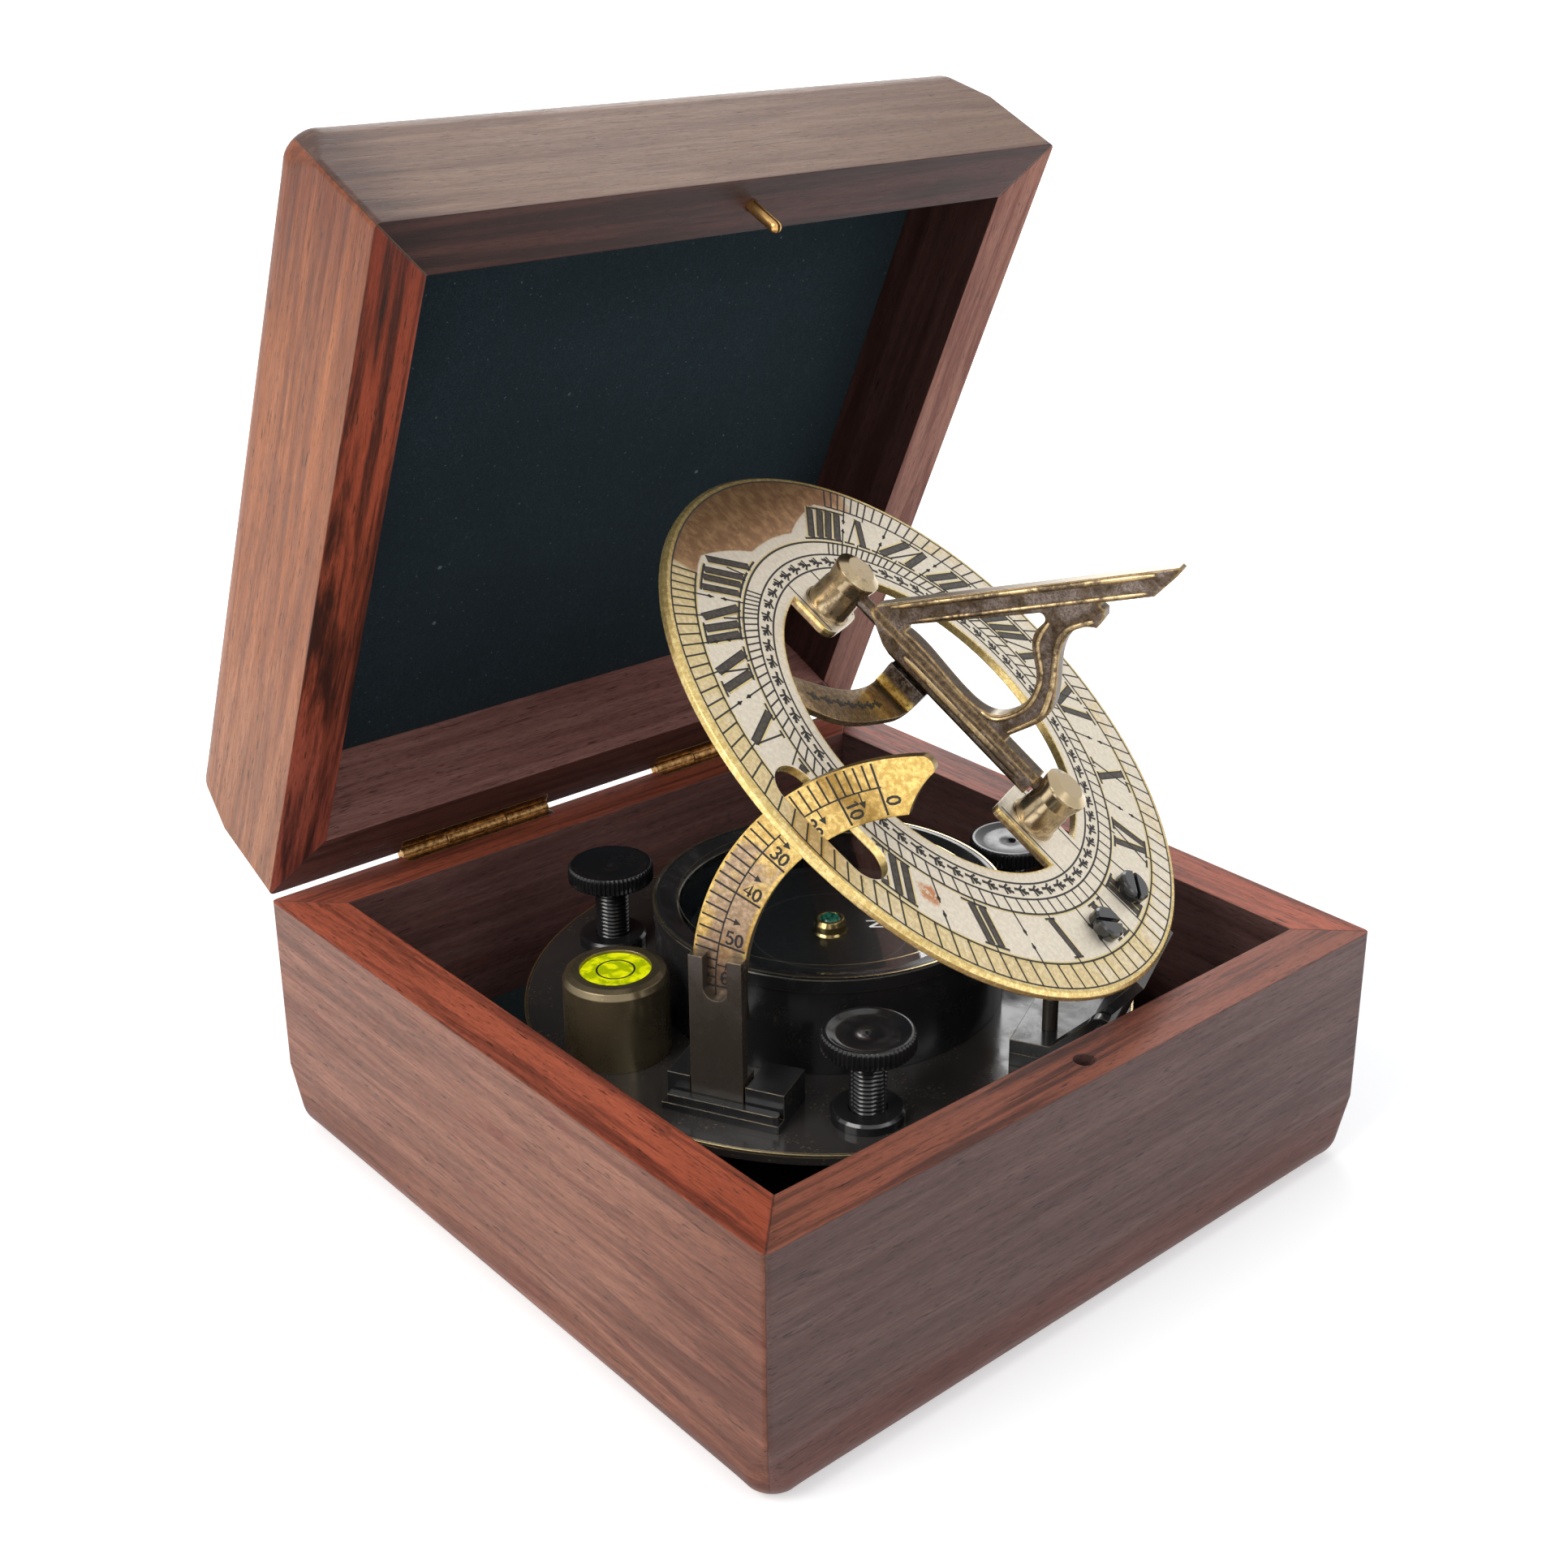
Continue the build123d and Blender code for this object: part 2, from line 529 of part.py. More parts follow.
def post_nut(x):
    nut = chamfer(disc(3.4, POST_NUT_T, -DIAL_T - POST_NUT_T).edges().sort_by(Axis.Z)[0], 0.3)
    return Pos(x, GNOMON_Y, 0) * (nut - disc(POST_STEM_R + 0.02, 4, -DIAL_T - 3))


def gnomon():
    style_foot = (GNOMON_FOOT_X, 8.2)
    end = Polyline(style_foot, (10.2, 53.0), (10.9, 53.0), (11.0, 51.6), (10.8, 46.4), (5.4, 38.7), (5.6, 38.1),
                   (6.8, 38.3), (7.7, 37.3), (8.0, 35.0))
    scroll = Spline((8.0, 35.0), (5.6, 30.4), (6.6, 27.2), (10.4, 22.2), (13.0, 16.2), (12.3, 13.0), (11.0, 9.4))
    foot = Polyline((11.0, 9.4), (11.0, 5.0), (-17.0, 5.2), (GNOMON_FOOT_X + 0.1, 6.9), style_foot)
    frame = make_face([end, scroll, foot])
    corner = ThreePointArc((-0.8, 29.0), (0.5, 29.6), (1.2, 28.4))
    belly = Spline((1.2, 28.4), (2.3, 24.5), (7.0, 20.6), (8.8, 15.2), (6.2, 9.5), (0, 8.1), (-8.0, 8.6), (-14.6, 8.4))
    style = Polyline((-14.6, 8.4), (-15.0, 9.8), (-0.8, 29.0))
    frame -= make_face([corner, belly, style])
    body = upright(frame, -GNOMON_T / 2, GNOMON_T / 2)
    bar_n = NORTH_POST_X - POST_R - 0.5
    bar_y = GNOMON_BAR_T / 2
    bar = block(GNOMON_FOOT_X + 0.1, bar_n, -bar_y, bar_y, GNOMON_BAR_BOTTOM, GNOMON_BAR_TOP)
    bar = chamfer(bar.edges().filter_by(Axis.X), 0.9)
    taper = Polyline((GNOMON_FOOT_X, 6.8), (-13.0, GNOMON_BAR_BOTTOM - 0.4), (-13.0, 0), (GNOMON_FOOT_X, 0),
                     (GNOMON_FOOT_X, 6.8))
    bar -= upright(make_face(taper), -bar_y - 1, bar_y + 1)
    body += bar
    reach = POST_R - 0.5
    body += rod_x(JOURNAL_R, SOUTH_POST_X + POST_R - reach, -17.0, 0, GNOMON_AXIS_Z)
    body += rod_x(JOURNAL_R, bar_n - 1, NORTH_POST_X - POST_R + reach, 0, GNOMON_AXIS_Z)
    return Pos(0, GNOMON_Y, 0) * body


def cam():
    half_l = CAM_L / 2
    body = block(CAM_X - half_l, CAM_X + half_l, -CAM_HALF_W, CAM_HALF_W, CAM_BOTTOM, GNOMON_BAR_BOTTOM)
    lower = body.faces().sort_by(Axis.Z)[0].edges().filter_by(Axis.X)
    return Pos(0, GNOMON_Y, 0) * chamfer(lower, 0.8)


def dial():
    nodes["dial_leaf"] = DIAL * dial_leaf()
    nodes["dial_plate"] = DIAL * dial_plate()
    nodes["dial_screw_west"] = DIAL * dial_screw(-1)
    nodes["dial_screw_east"] = DIAL * dial_screw(1)
    seat = DIAL * DIAL_SEAT
    nodes["gnomon_post_north"] = seat * gnomon_post(NORTH_POST_X)
    nodes["gnomon_post_south"] = seat * gnomon_post(SOUTH_POST_X)
    nodes["post_nut_north"] = seat * post_nut(NORTH_POST_X)
    nodes["post_nut_south"] = seat * post_nut(SOUTH_POST_X)
    nodes["gnomon"] = seat * gnomon()
    nodes["gnomon_cam"] = seat * cam()


base_case()
lid_case()
lid_hinges()
nodes["base_plate"] = INSTRUMENT * base_plate()
for name, angle in zip(("front", "right", "back"), FEET_ANGLES):
    nodes["screw_boss_" + name] = INSTRUMENT * at_foot(angle) * boss()
    nodes["levelling_screw_" + name] = INSTRUMENT * at_foot(angle) * levelling_screw()
compass()
level()
latitude_arc()
arc_stand()
dial_bracket()
dial()

for name, shape in nodes.items():
    export_step(shape, "parts/" + name + ".step")
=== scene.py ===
import random
from math import atan2, ceil, cos, hypot, pi, radians, sin, sqrt

import bmesh
import bpy
from mathutils import Matrix, Vector
from mathutils.geometry import tessellate_polygon


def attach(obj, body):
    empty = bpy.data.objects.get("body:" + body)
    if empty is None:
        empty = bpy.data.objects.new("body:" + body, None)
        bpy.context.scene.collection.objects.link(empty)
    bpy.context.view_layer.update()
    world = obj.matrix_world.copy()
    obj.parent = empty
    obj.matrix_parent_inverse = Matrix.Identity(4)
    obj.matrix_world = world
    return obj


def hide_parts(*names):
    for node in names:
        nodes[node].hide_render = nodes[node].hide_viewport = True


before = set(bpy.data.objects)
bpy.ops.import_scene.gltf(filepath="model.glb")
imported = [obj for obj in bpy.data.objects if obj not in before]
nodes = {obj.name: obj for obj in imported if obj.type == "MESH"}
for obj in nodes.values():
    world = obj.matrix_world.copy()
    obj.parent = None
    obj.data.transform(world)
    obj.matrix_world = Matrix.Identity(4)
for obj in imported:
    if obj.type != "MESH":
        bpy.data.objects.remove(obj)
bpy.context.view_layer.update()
MM = 0.001

# Places, in millimetres and degrees
FELT_HALF = 61.9
OPEN_ANGLE = 66.1
HINGE_Y, HINGE_Z = 73.1, 48.2
RIM_Z = 48.4
LID_DEPTH = 20.0
FELT_Z = 15.5
FELT_T = 1.0
CENTRE = (2.4, -1.3)
NORTH = -63.3
TILT = 40.3
DIAL_HINGE = (56.4, -2.5, 43.7)
DIAL_BACK = (-57.4, 0.0, 12.6)
SEAT_SHIFT = (-0.7, 1.2, 0.0)
SEAT_TURN = -2.3
ARC_X, ARC_Z = 42.1, 56.6
ARC_FACE_Y = -46.2
CARD_TOP = 43.8
CARD_NORTH = 37.6
BEZEL_TOP = 52.93
PLATE_TOP = 33.62
LEVEL_ANGLE, LEVEL_R = -127.05, 44.0
SCREW_ANGLES = {"front": -60, "right": 60, "back": 180}
SCREW_R = 45.7


def shift(x, y, z):
    return Matrix.Translation(Vector((x, y, z)) * MM)


def turn(angle, axis):
    return Matrix.Rotation(radians(angle), 4, axis)


INSTRUMENT = shift(*CENTRE, 0) @ turn(NORTH, "Z")
DIAL = INSTRUMENT @ shift(*DIAL_HINGE) @ turn(TILT, "Y") @ shift(*DIAL_BACK)
SEAT = DIAL @ shift(*SEAT_SHIFT) @ turn(SEAT_TURN, "Z")
LID = shift(0, HINGE_Y, HINGE_Z) @ turn(-OPEN_ANGLE, "X") @ shift(0, -HINGE_Y, -HINGE_Z)
CASE = Matrix.Identity(4)


class Paint:
    # a material whose patterns are laid out in millimetres in the frame called place
    def __init__(self, name, place=CASE):
        self.mat = bpy.data.materials.new(name)
        self.mat.use_nodes = True
        self.nt = self.mat.node_tree
        self.nt.nodes.clear()
        self.bsdf = self.node("ShaderNodeBsdfPrincipled")
        self.link(self.bsdf.outputs[0], self.node("ShaderNodeOutputMaterial").inputs[0])
        self.place = place
        self.coord = self.node("ShaderNodeTexCoord")
        m = self.node("ShaderNodeMapping")
        m.vector_type = "TEXTURE"
        m.inputs["Location"].default_value = place.translation
        m.inputs["Rotation"].default_value = place.to_euler()
        m.inputs["Scale"].default_value = (MM, MM, MM)
        self.link(self.coord.outputs["Object"], m.inputs["Vector"])
        self.co = m.outputs[0]

    def node(self, kind):
        return self.nt.nodes.new(kind)

    def link(self, a, b):
        self.nt.links.new(a, b)

    def set(self, socket, value):
        if isinstance(value, bpy.types.NodeSocket):
            self.link(value, socket)
        elif value is not None:
            if hasattr(socket.default_value, "__len__") and len(socket.default_value) == 4 and len(value) == 3:
                value = (*value, 1.0)
            socket.default_value = value

    def normal(self):
        # the surface's direction in the frame called place
        m = self.node("ShaderNodeMapping")
        m.vector_type = "TEXTURE"
        m.inputs["Rotation"].default_value = self.place.to_euler()
        self.link(self.coord.outputs["Normal"], m.inputs["Vector"])
        return m.outputs[0]

    def stretch(self, scale, vector=None):
        m = self.node("ShaderNodeMapping")
        m.inputs["Scale"].default_value = scale
        self.link(vector or self.co, m.inputs["Vector"])
        return m.outputs[0]

    def xyz(self, vector=None):
        n = self.node("ShaderNodeSeparateXYZ")
        self.link(vector or self.co, n.inputs[0])
        return n.outputs[0], n.outputs[1], n.outputs[2]

    def math(self, op, a, b=None):
        n = self.node("ShaderNodeMath")
        n.operation = op
        self.set(n.inputs[0], a)
        self.set(n.inputs[1], b)
        return n.outputs[0]

    def add(self, a, b):
        return self.math("ADD", a, b)

    def sub(self, a, b):
        return self.math("SUBTRACT", a, b)

    def mul(self, a, b):
        return self.math("MULTIPLY", a, b)

    def max(self, a, b):
        return self.math("MAXIMUM", a, b)

    def abs(self, a):
        return self.math("ABSOLUTE", a)

    def length(self, a, b):
        return self.math("SQRT", self.add(self.mul(a, a), self.mul(b, b)))

    def noise(self, scale, detail=4.0, rough=0.55, distort=0.0, vector=None):
        n = self.node("ShaderNodeTexNoise")
        n.inputs["Scale"].default_value = scale
        n.inputs["Detail"].default_value = detail
        n.inputs["Roughness"].default_value = rough
        n.inputs["Distortion"].default_value = distort
        self.link(vector or self.co, n.inputs["Vector"])
        return n.outputs["Fac"]

    def cells(self, scale):
        n = self.node("ShaderNodeTexVoronoi")
        n.inputs["Scale"].default_value = scale
        self.link(self.co, n.inputs["Vector"])
        return n.outputs["Distance"]

    def ramp(self, fac, low, high, a=0.0, b=1.0, smooth=True):
        n = self.node("ShaderNodeMapRange")
        n.interpolation_type = "SMOOTHSTEP" if smooth else "LINEAR"
        self.set(n.inputs["Value"], fac)
        n.inputs["From Min"].default_value = low
        n.inputs["From Max"].default_value = high
        n.inputs["To Min"].default_value = a
        n.inputs["To Max"].default_value = b
        return n.outputs[0]

    def mix(self, fac, a, b, blend="MIX"):
        n = self.node("ShaderNodeMix")
        n.data_type = "RGBA"
        n.blend_type = blend
        self.set(n.inputs[0], fac)
        self.set(n.inputs[6], a)
        self.set(n.inputs[7], b)
        return n.outputs[2]

    def bump(self, height, distance, strength, normal=None):
        n = self.node("ShaderNodeBump")
        n.inputs["Strength"].default_value = strength
        n.inputs["Distance"].default_value = distance * MM
        self.set(n.inputs["Height"], height)
        if normal is not None:
            self.link(normal, n.inputs["Normal"])
        return n.outputs[0]

    def soft_edges(self, radius):
        # the surface's direction with its edges rounded
        n = self.node("ShaderNodeBevel")
        n.samples = 4
        n.inputs["Radius"].default_value = radius * MM
        return n.outputs[0]

    def worn_edges(self, soft, low=0.02, high=0.16):
        # 1 at the edges, where the softened direction leaves the flat one
        n = self.node("ShaderNodeVectorMath")
        n.operation = "DOT_PRODUCT"
        self.link(self.node("ShaderNodeNewGeometry").outputs["Normal"], n.inputs[0])
        self.link(soft, n.inputs[1])
        return self.ramp(n.outputs["Value"], 1.0 - low, 1.0 - high)

    def out(self, color, rough, metal, normal=None, **more):
        # more holds further inputs of the shader, with _ for each space
        b = self.bsdf.inputs
        self.set(b["Base Color"], color)
        self.set(b["Roughness"], rough)
        self.set(b["Metallic"], metal)
        if normal is not None:
            self.link(normal, b["Normal"])
        for key, value in more.items():
            self.set(b[key.replace("_", " ")], value)
        return self.mat


MITRE = (0.02, 0.01, 0.008)


def shade(color, factor):
    return tuple(min(1, v * factor) for v in color)


def wood(name, place, grain, dark, mid, light, rim_mid, rim_dark, seed, streaks, mitre=MITRE, tints=()):
    # rosewood board with its grain along one axis of its frame; rim colours are for the faces at the opening,
    # mitre is the seam's colour there, and each tint darkens or reddens from low to high along an axis
    def drawn_out(amount):
        return p.stretch(tuple(amount if axis == grain else 1 for axis in "XYZ"), base.outputs[0])

    p = Paint(name, place)
    base = p.node("ShaderNodeVectorMath")
    base.operation = "ADD"
    base.inputs[1].default_value = (seed * 37.1, seed * 21.7, seed * 13.3)
    p.link(p.co, base.inputs[0])
    grown = drawn_out(0.05)
    dashes = drawn_out(0.10)
    figure = p.noise(0.16, 5, 0.62, 2.2, grown)
    bands = p.noise(0.45, 4, 0.65, 0.6, grown)
    fibre = p.noise(3.2, 4, 0.75, 0.0, drawn_out(0.03))
    pores = p.noise(2.0, 3, 0.7, 0.1, dashes)
    fleck = p.noise(4.5, 2, 0.6, 0.0, dashes)
    streak = p.ramp(p.noise(0.32, 4, 0.7, 1.6, grown), 0.56, 0.68)
    x, y, z = p.xyz(p.normal())
    rim = p.ramp(z, -0.25, -0.75) if place is LID else p.ramp(z, 0.25, 0.75)
    tone = p.add(p.mul(figure, 0.65), p.mul(bands, 0.35))
    side = p.mix(p.ramp(tone, 0.34, 0.64), dark, light)
    side = p.mix(p.ramp(fibre, 0.35, 0.7, 0.1, 0.6), side, mid)
    top = p.mix(p.ramp(tone, 0.40, 0.56), rim_dark, rim_mid)
    color = p.mix(rim, side, top)
    color = p.mix(p.mul(streak, streaks), color, rim_dark)
    pore = p.ramp(pores, 0.60, 0.68)
    color = p.mix(p.mul(pore, 0.75), color, shade(dark, 0.3))
    color = p.mix(p.ramp(fleck, 0.53, 0.72, 0.0, 0.65), color, (0.42, 0.38, 0.36), "MULTIPLY")
    color = p.mix(p.ramp(fleck, 0.46, 0.25, 0.0, 0.6), color, (1.5, 1.45, 1.4), "MULTIPLY")
    cx, cy, cz = p.xyz()
    # a tint along a face direction (nx, ny, nz) is painted light and shade on the faces turned that way
    for axis, low, high, tint, most in tints:
        value = {"x": cx, "y": cy, "z": cz, "nx": x, "ny": y, "nz": z}[axis]
        if axis in "xyz":
            # the grain breaks up the tint's border
            value = p.add(value, p.mul(p.sub(figure, 0.5), abs(high - low) * 1.4))
        color = p.mix(p.ramp(value, low, high, 0.0, most), color, tint, "MULTIPLY")
    line = p.abs(p.sub(p.abs(cx), p.abs(cy)))
    seam = p.mul(p.ramp(line, 0.10, 0.35, 1.0 if mitre else 0.0, 0.0), rim)
    color = p.mix(p.mul(seam, 0.45), color, mitre or dark)
    rough = p.ramp(fibre, 0.3, 0.7, 0.40, 0.56)
    height = p.sub(p.mul(fibre, 0.5), p.add(pore, seam))
    wear = p.noise(0.03, 3, 0.5, vector=base.outputs[0])
    height = p.add(height, p.mul(wear, 3.0))
    normal = p.bump(height, 0.05, 0.6, p.soft_edges(0.5))
    return p.out(color, rough, 0.0, normal, Specular_IOR_Level=0.28, Coat_Weight=0.04, Coat_Roughness=0.35)


def lacquer(name, tint=(0.018, 0.018, 0.019), rough=0.14, wear=0.25, edge=(0.42, 0.31, 0.15), worn=0.45,
            radius=0.3, shine=0.0):
    # black lacquered brass, rubbed through in patches and along its edges
    p = Paint(name, INSTRUMENT)
    smears = p.noise(0.12, 5, 0.65, 0.4)
    specks = p.noise(1.6, 3, 0.6)
    rub = p.mul(p.ramp(specks, 0.58, 0.72), p.ramp(smears, 0.5, 0.65))
    soft = p.soft_edges(radius)
    line = p.mul(p.worn_edges(soft), p.ramp(p.noise(0.35, 3, 0.6), 0.38, 0.58, 0.25, 1.0))
    rub = p.max(p.mul(rub, wear), p.mul(line, worn))
    color = p.mix(rub, tint, edge)
    r = p.ramp(smears, 0.35, 0.7, rough, rough + 0.18)
    metal = p.max(rub, shine)
    normal = p.bump(p.add(smears, p.mul(specks, 0.3)), 0.03, 0.35, soft)
    return p.out(color, r, metal, normal, Specular_IOR_Level=0.7)


def brass(name, place, light, dark, tarnish, rough=0.28, grain=0.5):
    # brass with darker tarnish in clouds
    p = Paint(name, place)
    broad = p.noise(0.10, 5, 0.6, 0.6)
    fine = p.noise(0.9, 5, 0.7)
    t = p.add(p.mul(broad, 0.6), p.mul(fine, 0.4))
    mask = p.ramp(t, 0.62 - 0.3 * tarnish, 0.75 - 0.25 * tarnish)
    color = p.mix(mask, light, dark)
    r = p.ramp(mask, 0.0, 1.0, rough, rough + 0.25)
    normal = p.bump(p.mul(fine, grain), 0.06, 0.5, p.soft_edges(0.3))
    return p.out(color, r, 0.95, normal)


def dial_paint():
    # silvered face, worn brass rim and bare brass sector at the south
    p = Paint("dial_face", SEAT)
    x, y, z = p.xyz()
    r = p.length(x, y)
    facing = p.xyz(p.normal())[2]
    broad = p.noise(0.07, 5, 0.6, 0.4)
    mottle = p.noise(0.4, 5, 0.65, 0.3)
    fine = p.noise(1.1, 5, 0.7)
    specks = p.noise(2.6, 3, 0.6)
    wobble = p.mul(p.sub(mottle, 0.5), 1.2)

    # the silvered face lies between the opening and the rim, and on the two tabs
    tab = p.ramp(p.abs(p.sub(y, 0.65)), 5.9, 5.5)
    face = p.mul(p.ramp(p.add(r, wobble), 55.4, 56.0, 1.0, 0.0), p.max(p.ramp(r, 32.6, 33.2), tab))
    face = p.mul(face, p.ramp(facing, 0.7, 0.9))

    # the sector, by its angle from the south
    off = p.sub(pi, p.abs(p.math("ARCTAN2", y, x)))
    signed = p.mul(off, p.math("SIGN", y))
    width = p.mul(p.ramp(signed, radians(37), radians(40), 1.0, 0.0), p.ramp(signed, radians(-29), radians(-27.5)))
    inner = p.ramp(p.abs(p.sub(signed, radians(3))), radians(10), radians(25), 43.4, 50.7, False)
    sector = p.mul(width, p.ramp(p.sub(p.add(r, p.mul(wobble, 0.35)), inner), -0.2, 0.2))

    # silver rubbed off the outer band and in scuffs
    near = p.mul(p.ramp(y, 14, -18), 0.25)
    band = p.mul(p.ramp(r, 50.7, 51.2), p.ramp(p.add(broad, near), 0.48, 0.75))
    scuff = p.mul(p.ramp(fine, 0.58, 0.70), p.ramp(broad, 0.5, 0.62))
    bare = p.max(p.mul(band, 0.7), p.mul(scuff, 0.4))
    stain_r = p.length(p.sub(x, 19.7), p.add(y, 40.4))
    stain = p.ramp(p.add(stain_r, p.mul(wobble, 4.0)), 2.6, 1.2)
    stain = p.mul(stain, p.ramp(p.noise(0.9, 4, 0.7, 0.3), 0.36, 0.50))
    tongue = p.mul(p.ramp(r, 32.4, 32.7, 1.0, 0.0), p.ramp(y, -6.2, -6.8))
    tongue = p.max(tongue, p.mul(p.ramp(z, -0.5, -0.9), p.ramp(r, 32.6, 32.3)))

    silver = p.mix(p.ramp(fine, 0.3, 0.75), (0.70, 0.62, 0.50), (0.86, 0.78, 0.64))
    silver = p.mix(p.ramp(mottle, 0.55, 0.75, 0.0, 0.35), silver, (0.62, 0.52, 0.38))
    silver = p.mix(p.ramp(specks, 0.70, 0.76, 0.0, 0.6), silver, (0.22, 0.16, 0.10))
    gold = p.mix(p.ramp(fine, 0.4, 0.65), (0.60, 0.43, 0.15), (0.84, 0.66, 0.30))
    brown = p.mix(p.ramp(p.noise(0.35, 5, 0.7), 0.4, 0.65), (0.36, 0.20, 0.10), (0.56, 0.35, 0.17))
    dull = p.mix(p.ramp(fine, 0.4, 0.65), (0.20, 0.13, 0.07), (0.40, 0.27, 0.13))
    color = p.mix(bare, silver, gold)
    color = p.mix(stain, color, (0.55, 0.24, 0.10))
    color = p.mix(sector, color, brown)
    color = p.mix(face, gold, color)
    color = p.mix(tongue, color, dull)
    color = p.mix(p.ramp(facing, -0.3, -0.7), color, (0.24, 0.16, 0.08))
    rough = p.ramp(p.max(sector, p.sub(1.0, face)), 0.0, 1.0, 0.42, 0.26)
    height = p.add(p.mul(fine, 0.3), p.mul(specks, 0.25))
    return p.out(color, rough, 0.78, p.bump(height, 0.035, 0.25, p.soft_edges(0.3)))


def arc_paint():
    # dull silver, its ends, rims and upper part worn to gold
    p = Paint("arc_face", INSTRUMENT)
    x, _, z = p.xyz()
    broad = p.noise(0.09, 4, 0.6, 0.5)
    fine = p.noise(1.0, 5, 0.7)
    dx = p.sub(x, ARC_X)
    dz = p.sub(z, ARC_Z)
    r = p.length(dx, dz)
    tip = p.ramp(p.math("ARCTAN2", dz, p.mul(dx, -1.0)), radians(66), radians(72))
    rim = p.max(p.ramp(r, 47.6, 48.1), p.ramp(r, 39.9, 39.3))
    silver = p.mix(p.ramp(fine, 0.4, 0.65), (0.30, 0.205, 0.125), (0.50, 0.36, 0.235))
    gold = p.mix(p.ramp(fine, 0.4, 0.65), (0.50, 0.32, 0.09), (0.80, 0.57, 0.19))
    cloud = p.add(broad, p.ramp(z, 78, 92, 0.0, 0.5))
    worn = p.max(p.max(tip, rim), p.ramp(cloud, 0.52, 0.68, 0.0, 0.85))
    color = p.mix(worn, silver, gold)
    color = p.mix(p.mul(p.ramp(z, 66, 55), 0.5), color, (0.22, 0.17, 0.14))
    facing = p.xyz(p.normal())[1]
    color = p.mix(p.ramp(facing, -0.6, -0.2, 0.0, 0.75), color, (0.12, 0.08, 0.05))
    return p.out(color, 0.3, 0.9, p.bump(fine, 0.05, 0.3, p.soft_edges(0.3)))


def hinge_paint(name, place):
    # bright knuckles, the leaves behind them dull and brown
    p = Paint(name, place)
    _, y, z = p.xyz()
    from_pin = p.length(p.sub(y, HINGE_Y), p.sub(z, HINGE_Z))
    fine = p.noise(0.9, 5, 0.7)
    soft = p.soft_edges(0.3)
    bright = p.mix(p.ramp(fine, 0.4, 0.62), (0.24, 0.12, 0.045), (0.62, 0.36, 0.13))
    dull = p.mix(p.ramp(fine, 0.4, 0.65), (0.07, 0.032, 0.018), (0.17, 0.085, 0.038))
    color = p.mix(p.ramp(from_pin, 1.8, 2.4), bright, dull)
    color = p.mix(p.mul(p.worn_edges(soft), 0.6), color, (0.66, 0.42, 0.17))
    return p.out(color, p.ramp(fine, 0.3, 0.7, 0.24, 0.42), 0.9, p.bump(fine, 0.05, 0.4, soft))


def cast_paint():
    # dark cast brass, its flat sides rubbed to grey and its edges to gold, and a painted highlight on its upper faces
    # turned to one side
    p = Paint("cast_brass", SEAT)
    broad = p.noise(0.25, 4, 0.6, 0.6)
    fine = p.noise(1.3, 5, 0.7)
    pits = p.noise(3.2, 3, 0.7)
    nx, ny, nz = p.xyz(p.normal())
    soft = p.soft_edges(0.8)
    flat_side = p.ramp(p.abs(ny), 0.90, 0.98)
    dark = p.mix(p.ramp(fine, 0.35, 0.7), (0.045, 0.030, 0.021), (0.13, 0.088, 0.052))
    grey = p.mix(p.ramp(pits, 0.35, 0.65), (0.10, 0.074, 0.064), (0.25, 0.20, 0.17))
    gold = p.mix(p.ramp(fine, 0.35, 0.65), (0.34, 0.21, 0.08), (0.66, 0.46, 0.20))
    color = p.mix(p.mul(flat_side, p.ramp(broad, 0.38, 0.60)), dark, grey)
    line = p.mul(p.worn_edges(soft, 0.02, 0.14), p.ramp(broad, 0.30, 0.50, 0.55, 1.0))
    color = p.mix(line, color, gold)
    # painted highlight: faces turned up and towards -x of the seat frame are made pale silver
    top = p.mul(p.ramp(nz, 0.3, 0.5), p.ramp(nx, -0.5, -0.75))
    color = p.mix(p.mul(top, 0.85), color, (0.80, 0.73, 0.60))
    height = p.add(p.mul(fine, 0.7), p.mul(pits, 0.4))
    return p.out(color, p.ramp(fine, 0.3, 0.7, 0.26, 0.44), 0.9, p.bump(height, 0.09, 0.6, soft))


def cam_paint():
    # the cam's front is polished by the tongue
    p = Paint("cam_brass", SEAT)
    fine = p.noise(1.2, 5, 0.7)
    z = p.xyz()[2]
    facing = p.xyz(p.normal())[1]
    gold = p.mix(p.ramp(fine, 0.35, 0.65), (0.60, 0.40, 0.10), (0.90, 0.70, 0.25))
    dark = p.mix(p.ramp(fine, 0.4, 0.65), (0.07, 0.055, 0.045), (0.24, 0.20, 0.17))
    front = p.mul(p.ramp(facing, -0.4, -0.7), p.ramp(p.add(z, p.mul(fine, 1.6)), 1.8, 0.6))
    color = p.mix(front, dark, gold)
    return p.out(color, p.ramp(fine, 0.3, 0.7, 0.2, 0.4), 0.95, p.bump(fine, 0.1, 0.5, p.soft_edges(0.3)))


def plain(name, color, rough, metal, scale, spread, **more):
    # one colour, varied a little up and down
    p = Paint(name)
    n = p.noise(scale, 4, 0.6)
    c = p.mix(p.ramp(n, 0.35, 0.65), shade(color, 1 - spread), shade(color, 1 + spread))
    return p.out(c, rough, metal, p.bump(n, 0.02, 0.3), **more)


def glass_paint(name, tint):
    # clear, with a faint haze in places
    p = Paint(name, INSTRUMENT)
    haze = p.ramp(p.noise(0.5, 4, 0.6), 0.4, 0.7, 0.0, 0.05)
    return p.out(tint, haze, 0.0, None, Transmission_Weight=1.0, IOR=1.45)


def green_liquid():
    # clouded, with a painted glow in place of the light that shines through it
    p = Paint("level_liquid", INSTRUMENT)
    n = p.noise(0.35, 4, 0.6, 0.8)
    c = p.mix(p.ramp(n, 0.4, 0.6), (0.55, 0.62, 0.004), (0.85, 0.86, 0.01))
    return p.out(c, 0.15, 0.0, None, Emission_Color=c, Emission_Strength=0.35)


